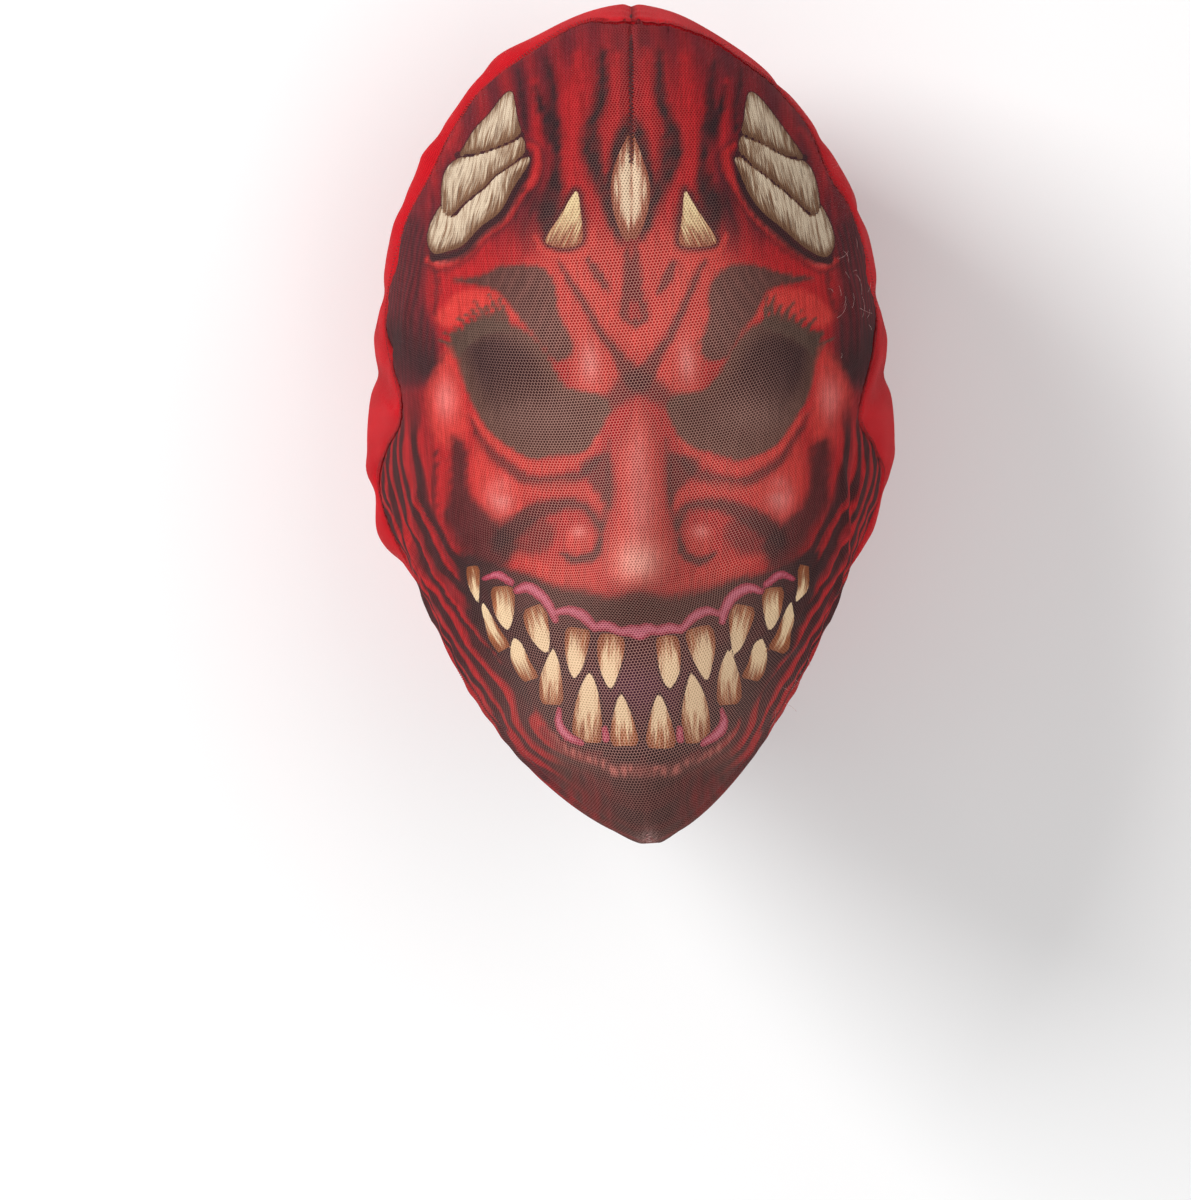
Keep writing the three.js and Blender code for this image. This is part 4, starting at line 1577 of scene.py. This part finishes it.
@dataclass
class FacePanel(Part):
    """The sheer printed panel over the face, one layer of net.

    Its rows are spread by the length down the middle and, times seam_weight, down the seam. The
    print's centre line sways by print_sways at sway_heights. Lengths are in millimetres, and the
    flat size and area in metres.
    """

    drape: Drape
    finish: Material
    rows: int = 352
    columns: int = 281
    seam_weight: float = 0.6
    tuck: float = 0.3
    puff: float = 0.5
    cheek_ripple: float = 0.4
    dart_place: float = 0.2
    dart_depth: float = 0.8
    pucker_height: float = -136.5
    pucker_depth: float = 1.3
    ray_rise: float = 0.5
    ray_count: float = 9.0
    chin_turn: tuple[float, float] = (0.82, 0.9)
    sway_heights: tuple[float, ...] = (-139, -100, -57, -37, 20, 58)
    print_sways: tuple[float, ...] = (6.2, 3.6, 2.3, 2.9, 2.4, 0)
    view_tilt: float = 4.0
    view_distance: float = 2200.0
    margin: float = 40.0
    flat: tuple[float, float] = (0.248, 0.320)
    flat_area: float = 0.045

    def _lay_out(self) -> tuple[Array, Array]:
        """Turn and fall of every corner of the panel, spread evenly by length along each row.

        Returns:
            The turn and the fall, in rows and columns.
        """
        fine = np.linspace(0, 1, 1500)
        angle, fall = self.seam.place(fine)
        middle, border = self.form.points(0, fall), self.form.points(angle, fall)
        weight = lengths(middle) + self.seam_weight * lengths(border)
        down = np.interp(np.linspace(0, weight[-1], self.rows), weight, fine)
        edge, fall = self.seam.place(down)
        shares = np.linspace(-1, 1, 241)
        length = lengths(self.form.points(edge[:, None] * shares, fall[:, None]), axis=1)
        turn = np.empty((self.rows, self.columns))
        for row in range(self.rows):
            stops = np.linspace(0, length[row, -1], self.columns)
            turn[row] = edge[row] * np.interp(stops, length[row], shares)
        return turn, np.broadcast_to(fall[:, None], turn.shape)

    def _sheet(self, grid: Array, fall: Array) -> tuple[Array, Array]:
        """Where each corner lies on the artwork's sheet, seen from straight in front.

        The view is from view_distance, tilted by view_tilt. Under the chin, where the cloth turns
        back, the height goes on down by at least half the length of the cloth.

        Args:
            grid: the corners, in rows and columns.
            fall: the fall of each corner.

        Returns:
            How far right of the print's centre line each corner is, and how high, as long lists.
        """
        tilt = np.radians(self.view_tilt)
        up = grid[..., 1] * np.cos(tilt) + grid[..., 2] * np.sin(tilt)
        near = grid[..., 2] * np.cos(tilt) - grid[..., 1] * np.sin(tilt)
        scale = self.view_distance / (self.view_distance - near)
        height = up * scale
        reach = np.linalg.norm(np.diff(grid, axis=0), axis=-1)
        least = -0.5 * reach * smooth(*self.chin_turn, fall[1:])
        drop = np.cumsum(np.minimum(np.diff(height, axis=0), least), axis=0)
        height = np.concatenate([height[:1], height[:1] + drop])
        sway = np.interp(height, self.sway_heights, self.print_sways)
        return (grid[..., 0] * scale - sway).ravel(), height.ravel()

    def _creases(self, points: Array, across: Array, height: Array) -> Array:
        """Lift of the small creases.

        Ripples run beside the mouth. The dart is a groove down the forehead, a bell of x. The
        pucker of the chin is a round dip, with rays that are the sine of ray_count times the angle
        round it.

        Args:
            points: the corners.
            across: how far right of the print's centre line each one is.
            height: how high each one is on the sheet.

        Returns:
            The lift in millimetres.
        """
        beside = smooth(30, 52, np.abs(across)) * smooth(-12, -40, height)
        lift = self.cheek_ripple * beside * ripple(height, points[:, 2], 9, 81)
        dart = bell(points[:, 0] - self.dart_place, 1) * smooth(60, 96, height)
        above = height - self.pucker_height
        pucker = bell(across, 2.2) * bell(above, 5)
        rays = np.sin(self.ray_count * np.arctan2(above + 3.5, across))
        lift += self.ray_rise * bell(across, 9) * bell(above, 7) * rays
        return lift - self.dart_depth * dart - self.pucker_depth * pucker

    def _stretch(self, across: Array, height: Array) -> Array:
        """How far the net is stretched: most over the middle of the face, least at crown and jaw.

        Args:
            across: how far right of the print's centre line each corner is.
            height: how high each corner is on the sheet.

        Returns:
            Three shares for each corner: how stretched, how open and how bare of ink the net is.
        """
        slack = 0.8 * np.maximum(-height - 96, 0) + 0.45 * np.maximum(height - 30, 0)
        stretched = 0.12 + 0.88 * smooth(64, 22, np.abs(across) + slack)
        holes = stretched * smooth(-80, -62, height)
        inked = 0.6 * smooth(48, 84, height) + 0.45 * smooth(-104, -118, height)
        return np.stack([stretched, holes, stretched * (1 - inked)], axis=1)

    def build(self) -> Piece:
        """Shape the panel and print on it.

        Returns:
            The new piece.
        """
        turn, fall = self._lay_out()
        points = self.form.points(turn, fall).reshape(-1, 3)
        lift = -self.tuck + self.drape.fold_lift(points)
        shift = np.zeros_like(points)
        for side in Side:
            here = np.sign(points[:, 0] + 1e-6) == side.value
            gap, run = self.drape.nearest(self.seam.line(side), points[here])
            lift[here] += self.drape.seam_lift(gap, run, side, self.puff)
            shift[here] = self.seam.shift(side, gap, run)
        points = points + shift
        grid = points.reshape(*turn.shape, 3)
        across, height = self._sheet(grid, fall)
        art = Artwork(across, height, points[:, 2])
        art.paint()
        lift += self._creases(points, across, height)
        length = lengths(grid, axis=1)
        down = np.broadcast_to(lengths(grid[:, self.columns // 2])[:, None], length.shape)
        width = length - length[:, -1:] / 2
        attributes = {
            "ink": np.clip(art.ink, 0, 1),
            "bone_ink": art.bone_ink,
            "root_ink": art.root_ink,
            "figures": np.stack([art.bone, art.gum, art.dark], axis=1),
            "grain": art.grain,
            "net": self._stretch(across, height),
        }
        return self.shop.piece(
            "printed_face", "printed_mesh", points + lift[:, None] * grid_normals(grid),
            grid_quads(self.rows, self.columns)[:, ::-1], self.finish,
            np.stack([width + UV_SPAN / 2, UV_SPAN - self.margin - down], axis=-1), attributes,
        )


@dataclass
class KnitHalf(Part):
    """One of the two red halves that close the back of the head, with a true wall.

    Lengths are in millimetres, and the flat size and area in metres.
    """

    drape: Drape
    side: Side
    finish: Material
    rows: int = 220
    columns: int = 190
    wall: float = 1.0
    puff: float = 1.6
    back_dip: float = 0.9
    back_puff: float = 0.7
    pucker: float = 0.22
    pucker_pitch: float = 5.2
    back_length: float = 330.0
    slack: float = 0.35
    scallop_fade: float = 4.0
    deepest_crease: float = 2.4
    margin: float = 60.0
    flat: tuple[float, float] = (0.164, 0.292)
    flat_area: float = 0.0286

    def _lay_out(self) -> tuple[Array, Array]:
        """Turn and fall of every corner, by blending the patch between its four edges on a plan.

        On the plan of the hood seen from the crown, fall is the distance out and turn the
        direction. The edges are the middle line over the crown, the seam, the neck edge and the
        middle line down the back, and the inside is the sum of both blends less that of the
        corners. The seam's scallops are what it has beyond a smooth curve of the fourth degree
        between its ends. They fade out faster than the curve does, so that the rows never cross.

        Returns:
            The turn and the fall, in rows and columns.
        """
        u, v = np.meshgrid(np.linspace(0, 1, self.columns), np.linspace(0, 1, self.rows))
        front, rear = self.seam.crown_front, self.seam.crown_rear
        start = float(self.seam.place(np.array(1))[0])

        def on_plan(turn: Array, fall: Array | float) -> Array:
            """A place on the plan."""
            angle = np.radians(turn)
            return np.stack([np.sin(angle) * fall, np.cos(angle) * fall], axis=-1)

        def top(share: Array | float) -> Array:
            """The middle line over the crown."""
            return np.stack([0 * share, front - (rear + front) * share], axis=-1)

        def back(share: Array) -> Array:
            """The middle line down the back."""
            return np.stack([0 * share, -rear - (1 - rear) * share], axis=-1)

        def neck(share: Array | float) -> Array:
            """The neck edge."""
            return on_plan(start + (180 - start) * share, 1)

        down = v[:, 0]
        border = on_plan(*self.seam.place(down))
        border[0] = top(0)
        chord = border[0] + (border[-1] - border[0]) * down[:, None]
        bows = (down * (1 - down))[:, None] * down[:, None] ** np.arange(3)
        curve = chord + bows @ np.linalg.lstsq(bows, border - chord, rcond=None)[0]
        u2, v2 = u[..., None], v[..., None]
        seam = curve[:, None] * (1 - u2) + (border - curve)[:, None] * (1 - u2) ** self.scallop_fade
        spot = top(u) * (1 - v2) + neck(u) * v2 + seam + back(v) * u2
        spot = spot - top(0) * (1 - u2) * (1 - v2) - top(1) * u2 * (1 - v2)
        spot = spot - neck(0) * (1 - u2) * v2 - neck(1) * u2 * v2
        turn = np.degrees(np.arctan2(spot[..., 0], spot[..., 1]))
        return self.side.value * np.maximum(turn, 1e-4), np.hypot(spot[..., 0], spot[..., 1])

    def _back_lift(self, points: Array, fall: Array) -> Array:
        """Lift of the cloth near the back seam: its groove, the puff beside it and small puckers.

        Args:
            points: the corners.
            fall: the fall of each corner.

        Returns:
            The lift in millimetres, from bells of the distance from the middle and, for the
            puckers, the sine of the way down the back.
        """
        middle = np.abs(points[:, 0])
        behind = smooth(0, 6, 60 - points[:, 2]) * smooth(0, 0.2, fall)
        lift = self.back_puff * bell(middle - 4, 3.2) * behind - self.back_dip * bell(middle, 1.5)
        run = fall * self.back_length
        return lift + self.pucker * np.sin(2 * np.pi * run / self.pucker_pitch) * bell(middle, 6)

    def _wall_quads(self) -> Array:
        """Quads of the outer side, of the inner side and of the rim that joins them.

        Returns:
            Four corner numbers for each quad; the inner corners follow the outer ones.
        """
        size = self.rows * self.columns
        faces = grid_quads(self.rows, self.columns)
        numbers = np.arange(size).reshape(self.rows, self.columns)
        edges = (numbers[0, :-1], numbers[:-1, -1], numbers[-1, :0:-1], numbers[:0:-1, 0])
        loop = np.concatenate(edges)
        following = np.roll(loop, -1)
        rim = np.stack([loop, following, following + size, loop + size], axis=-1)
        quads = np.concatenate([faces[:, ::-1], faces + size, rim])
        return quads[:, ::-1] if self.side is Side.LEFT else quads

    def build(self) -> Piece:
        """Shape the half as a closed wall, flat where the mask lies.

        Returns:
            The new piece.
        """
        turn, fall = self._lay_out()
        points = self.form.points(turn, fall).reshape(-1, 3)
        gap, run = self.drape.nearest(self.seam.line(self.side), points)
        points = points + self.seam.shift(self.side, gap, run)
        grid = points.reshape(*turn.shape, 3)
        folds = self.drape.fold_lift(points)
        lift = self.drape.seam_lift(gap, run, self.side, self.puff) + folds
        lift += self._back_lift(points, fall.ravel())
        lift += self.slack * ripple(points[:, 1], points[:, 2] + points[:, 0], 60, 7)
        lift *= smooth(-REST_DEPTH + 0.6, -REST_DEPTH + 5, points[:, 2])
        normal = grid_normals(grid)
        outer = points + lift[:, None] * normal
        outer[:, 2] = np.maximum(outer[:, 2], -REST_DEPTH)
        cloth = np.stack([
            lengths(grid, axis=1) + self.margin, UV_SPAN - self.margin - lengths(grid),
        ], axis=-1).reshape(-1, 2)
        # painted shade: darker along the seams' grooves and in the valleys of the folds
        creases = np.clip(-folds / self.deepest_crease, 0, 1)
        seams = 0.55 * bell(gap, 0.9) + 0.5 * bell(points[:, 0], 0.9)
        seam_and_crease_shade = np.zeros_like(points)
        seam_and_crease_shade[:, 0] = np.clip(seams + 0.5 * creases, 0, 1)
        return self.shop.piece(
            f"knit_half_{self.side.name.lower()}", "red_knit",
            np.concatenate([outer, outer - self.wall * normal]), self._wall_quads(), self.finish,
            np.concatenate([cloth, cloth]), {"seam_and_crease_shade": np.concatenate([seam_and_crease_shade, seam_and_crease_shade])},
        )


def stitched(line: Array, across: Array, way: Array, out: Array) -> Array:
    """Threads that leave each place of a line on the cloth in its three directions there.

    Args:
        line: one place for each thread.
        across: how far each point of a thread lies across the line.
        way: how far along it.
        out: how far out of the cloth.

    Returns:
        The threads' points.
    """
    ahead, up = (directions[:, None] for directions in line_frame(line))
    return line[:, None] + np.cross(ahead, up) * across + ahead * way + up * out


@dataclass
class Sewing(Part):
    """Everything that is thread: the overlock along the face seam, the back seam and the darts.

    Ranges of fall say where a row runs. All lengths are in millimetres.
    """

    red: Material
    dark: Material
    pale: Material
    pitch: float = 1.05
    thread: float = 0.17
    dart_thread: float = 0.2
    chin_thread: float = 0.15
    fibre: float = 0.045
    crown_reach: float = 2.4
    side_reach: float = 0.75
    back_range: tuple[float, float] = (0.02, 0.985)
    back_count: int = 190
    dart_range: tuple[float, float] = (0.108, 0.305)
    dart_count: int = 92
    chin_range: tuple[float, float] = (0.885, 0.918)
    chin_count: int = 11
    temple_fibres: int = 18
    jaw_fibres: int = 8

    def _down(self, turn: float, span: tuple[float, float], count: int) -> Array:
        """Evenly spaced places down the hood at one turn."""
        return spread(self.form.points(turn, np.linspace(*span, 900)), count)

    def overlock(self, side: Side) -> Piece:
        """Thread loops that cross from the seam onto the knit, longer over the crown.

        Each loop leaves the seam square to it, arches over by a sine and leans a little along it.

        Args:
            side: which seam.

        Returns:
            The new piece.
        """
        line = self.seam.worn_line(side, 400)
        line = spread(line, int(lengths(line)[-1] / self.pitch))
        back = -np.sign(np.cross(*line_frame(line))[:, None, 2:])
        run = np.arange(len(line))[:, None, None] * self.pitch
        reach = self.side_reach + (self.crown_reach - self.side_reach) * smooth(78, 50, run)
        t = np.linspace(0, 1, 6)[:, None]
        rise = 0.04 + 0.3 * np.sin(np.pi * t) - 0.75 * bell(t * reach, 1.6)
        spines = stitched(line, (t * reach - 0.25) * back, (t - 0.5) * 0.45, rise)
        name = f"overlock_{side.name.lower()}"
        return self.shop.threads(name, "red_knit", spines, self.thread, self.red)

    def back_seam(self) -> Piece:
        """A row of stitches across the middle of the back, lying in the groove.

        Returns:
            The new piece.
        """
        line = self._down(180, self.back_range, self.back_count)
        t = np.linspace(-1, 1, 5)[:, None]
        clear = line[line[:, 2] > 0.8 - REST_DEPTH]
        spines = stitched(clear, t * 0.95, t * 0.5, -0.55 - 0.25 * t**2)
        return self.shop.threads("back_seam_stitches", "red_knit", spines, self.thread, self.red)

    def forehead_dart(self) -> Piece:
        """A tight zigzag of dark thread down the middle of the forehead.

        Returns:
            The new piece.
        """
        line = self._down(1e-3, self.dart_range, self.dart_count)
        t = np.linspace(-1, 1, 4)[:, None]
        numbers = np.arange(self.dart_count)[:, None, None]
        width = (0.7 + 0.2 * ripple(numbers, 0 * numbers, 7, 61)) * (-1) ** numbers
        spines = stitched(line, t * width, t * 0.42, -0.55 - 0.2 * t**2)
        return self.shop.threads("forehead_dart", "printed_mesh", spines, self.dart_thread,
                                 self.dark)

    def chin_dart(self) -> Piece:
        """A few pale stitches that draw in the point of the chin.

        Returns:
            The new piece.
        """
        line = self._down(1e-3, self.chin_range, self.chin_count)
        t = np.linspace(-1, 1, 4)[:, None]
        width = 0.8 * (-1) ** np.arange(self.chin_count)[:, None, None]
        spines = stitched(line, t * width, t * 0.5, -1.2 + 0.1 * t)
        return self.shop.threads("chin_dart", "printed_mesh", spines, self.chin_thread, self.pale)

    def loose_fibres(self) -> Piece:
        """Pale loose fibres on the right temple and jaw: short hairs that curl off the cloth.

        Returns:
            The new piece.
        """
        dice = np.random.default_rng(17)
        count = self.temple_fibres + self.jaw_fibres
        temple = np.arange(count) < self.temple_fibres
        turn = np.where(temple, dice.uniform(52, 74, count), dice.uniform(44, 60, count))
        fall = np.where(temple, dice.uniform(0.41, 0.52, count), dice.uniform(0.80, 0.86, count))
        base = self.form.points(turn, fall)
        _, out = line_frame(base)
        heading = dice.normal(size=(count, 3))
        heading = unit(heading - (heading * out).sum(1, keepdims=True) * out)
        bend = np.cross(heading, out)[:, None]
        length = dice.uniform(2.5, 6.5, count)[:, None, None]
        curl = dice.uniform(-0.45, 0.45, count)[:, None, None]
        t = np.linspace(0, 1, 6)[:, None]
        spines = base[:, None] + heading[:, None] * t * length + bend * curl * length * t**2
        spines = spines + out[:, None] * (0.25 + 0.16 * length * np.sin(2.4 * t))
        return self.shop.threads("loose_fibres", "red_knit", spines, self.fibre, self.pale)


def evened(ring: Array, reach: int) -> Array:
    """A closed ring of vectors, each one the mean of those up to reach places away."""
    return sum(np.roll(ring, step, axis=0) for step in range(-reach, reach + 1)) / (2 * reach + 1)


@dataclass
class NeckHem(Part):
    """The turned edge round the neck opening, a flat fold of cloth with two rows of stitches.

    All lengths are in millimetres.
    """

    finish: Material
    thread: Material
    around: int = 360
    sides: int = 16
    tall: float = 4.2
    thick: float = 1.35
    waviness: float = 0.25
    stitch_count: int = 620
    stitch_rows: tuple[float, ...] = (2.2, 5.4)
    stitch_radius: float = 0.14

    def _edge(self, count: int) -> tuple[Array, Array, Array]:
        """The neck edge with evened directions.

        Args:
            count: how many points it gets.

        Returns:
            The points, the unit vectors down the cloth, and those out of it.
        """
        turn = np.linspace(-180, 180, count, endpoint=False)
        edge = self.form.points(turn, 1)
        down = evened(edge - self.form.points(turn, 0.975), 4)
        round_it = evened(np.roll(edge, -1, axis=0) - np.roll(edge, 1, axis=0), 4)
        out = unit(np.cross(round_it, down))
        outward = np.median((out * (edge - edge.mean(0))).sum(1))
        return edge, unit(down), out * np.sign(outward)

    def build(self) -> Piece:
        """Carry a flat oval round the neck edge, rippled a little along it.

        The oval is a superellipse: tall times the cosine to the power of 0.7 down the cloth, and
        thick times the sine to the power of 0.8 out of it.

        Returns:
            The new piece.
        """
        edge, down, out = self._edge(self.around)
        turns = np.linspace(0, 2 * np.pi, self.sides, endpoint=False)
        cosine, sine = np.cos(turns)[:, None], np.sin(turns)[:, None]
        wave = self.waviness * ripple(np.arange(self.around), edge[:, 2], 18, 71)
        middle = edge - down * (self.tall - 0.6) + out * (wave[:, None] - 0.15)
        oval_down = self.tall * np.sign(cosine) * np.abs(cosine) ** 0.7
        oval_out = self.thick * np.sign(sine) * np.abs(sine) ** 0.8
        points = middle[:, None] + down[:, None] * oval_down + out[:, None] * oval_out
        lay = np.broadcast_arrays(lengths(edge)[:, None], 20 + 1.2 * self.tall * turns)
        return self.shop.piece(
            "neck_hem", "red_knit", points, grid_quads(self.around, self.sides, joined=(0, 1)),
            self.finish, np.stack(lay, axis=-1), {"seam_and_crease_shade": np.zeros_like(points)},
        )

    def stitches(self) -> Piece:
        """Rows of short straight stitches along the hem.

        Returns:
            The new piece.
        """
        edge, down, out = self._edge(self.stitch_count)
        way = np.roll(edge, -1, axis=0) - edge
        t = np.linspace(-0.34, 0.34, 4)[:, None]
        arch = out[:, None] * (self.thick + 0.02 - 0.3 * t**2)
        rows = [(edge - down * above)[:, None] + way[:, None] * t
                + arch for above in self.stitch_rows]
        spines = np.concatenate(rows)
        return self.shop.threads("hem_stitches", "red_knit", spines, self.stitch_radius,
                                 self.thread)


@dataclass(frozen=True)
class Studio:
    """Pale floor, soft lights and the camera that looks down on the mask.

    A light is its name, its place, its size and its power. All lengths are in metres.
    """

    distance: float = 2.2
    lens: float = 200.0
    sensor: float = 36.0
    far: float = 20.0
    tilt: float = 4.0
    aim_right: float = -0.0117
    aim_up: float = -0.0573
    floor_half: float = 3.0
    floor_points: int = 13
    glow: float = 0.42
    lights: tuple[tuple[str, tuple[float, float, float], float, float], ...] = (
        ("key", (-1.35, 0.7, 1.5), 0.9, 33),
        ("fill", (0.9, 0.1, 1.9), 1.3, 9),
        ("low", (0.1, -1.5, 1.2), 1.2, 7),
    )

    def _floor(self) -> None:
        """Lay a level sheet of paper, far wider than the view."""
        side = np.linspace(-self.floor_half, self.floor_half, self.floor_points)
        x, y = np.meshgrid(side, side)
        mesh = bpy.data.meshes.new("floor")
        points = np.stack([x, y, 0 * x], axis=-1).reshape(-1, 3)
        quads = grid_quads(self.floor_points, self.floor_points)[:, ::-1]
        mesh.from_pydata(points.tolist(), [], quads.tolist())
        mesh.materials.append(Backdrop().build())
        made = bpy.data.objects.new("floor", mesh)
        bpy.context.scene.collection.objects.link(made)

    def _light(self, name: str, place: tuple[float, float, float], size: float, power: float,
               target: Vector) -> None:
        """Hang a square soft light.

        Args:
            name: its name.
            place: where it hangs.
            size: the length of its side.
            power: how strong it is, in watts.
            target: the point that it faces.
        """
        data = bpy.data.lights.new(name, "AREA")
        data.shape = "SQUARE"
        data.size = size
        data.energy = power
        made = bpy.data.objects.new(name, data)
        made.location = place
        made.rotation_euler = (target - Vector(place)).to_track_quat("-Z", "Y").to_euler()
        bpy.context.scene.collection.objects.link(made)

    def _surroundings(self) -> None:
        """Light the scene evenly from all round, and show its colours as they are."""
        world = bpy.data.worlds.new("surroundings")
        world.use_nodes = True
        sky = next(n for n in world.node_tree.nodes if n.type == "BACKGROUND")
        sky.inputs["Color"].default_value = (1, 1, 1, 1)
        sky.inputs["Strength"].default_value = self.glow
        bpy.context.scene.world = world
        bpy.context.scene.view_settings.view_transform = "Standard"

    def _camera(self, centre: Vector) -> None:
        """Set up the camera over the mask, tilted and aimed a little off its centre.

        Args:
            centre: the middle of the hood's own lines.
        """
        angle = np.radians(self.tilt)
        right = Vector((1, 0, 0))
        up = Vector((0, float(np.cos(angle)), float(np.sin(angle))))
        back = Vector((0, float(-np.sin(angle)), float(np.cos(angle))))
        stand = centre + back * self.distance
        away = (stand - (centre + right * self.aim_right + up * self.aim_up)).normalized()
        across = up.cross(away).normalized()
        turn = Matrix((across, away.cross(across), away)).transposed()
        data = bpy.data.cameras.new("camera")
        data.lens = self.lens
        data.sensor_width = self.sensor
        data.clip_end = self.far
        made = bpy.data.objects.new("camera", data)
        made.matrix_world = Matrix.Translation(stand) @ turn.to_4x4()
        bpy.context.scene.collection.objects.link(made)
        bpy.context.scene.camera = made

    def build(self, layout: Frame) -> None:
        """Set up the floor, the lights, the pale surroundings and the camera.

        Args:
            layout: where the hood lies.
        """
        centre = Vector(layout.shift)
        self._floor()
        for light in self.lights:
            self._light(*light, centre)
        self._surroundings()
        self._camera(centre)


def main() -> None:
    """Build the mask and set the studio round it."""
    form = HoodForm()
    seam = FaceSeam(form)
    layout = Frame.fitted(form, seam)
    log.info("hood laid at %s", layout.shift)
    shop = Workshop(layout)
    knit = RedKnit().build()
    red, dark, pale = (
        Thread("red_thread", (186, 26, 32), (116, 14, 22)).build(),
        Thread("dark_thread", (96, 40, 44), (52, 26, 30)).build(),
        Thread("pale_thread", (222, 190, 184), (170, 110, 108)).build(),
    )
    drape = Drape(form, seam, FACE_FOLDS, PINCHES, PUFFS)
    face = FacePanel(shop, form, seam, drape, PrintedNet().build())
    printed = face.build()
    sewing = Sewing(shop, form, seam, red, dark, pale)
    darts = [sewing.forehead_dart(), sewing.chin_dart()]
    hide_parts("face_panel")
    hem = NeckHem(shop, form, seam, knit, red)
    trims = [hem.build(), hem.stitches(), sewing.back_seam(), sewing.loose_fibres()]
    drape = replace(drape, folds=KNIT_FOLDS)
    for side in Side:
        half = KnitHalf(shop, form, seam, drape, side, knit)
        made = half.build()
        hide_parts(f"hood_back_{side.name.lower()}")
        with_pieces = [sewing.overlock(side)] + (trims if side is Side.LEFT else [])
    Studio().build(layout)


if __name__ == "__main__":
    logging.basicConfig(level=logging.INFO, format="%(name)s: %(message)s")
    main()
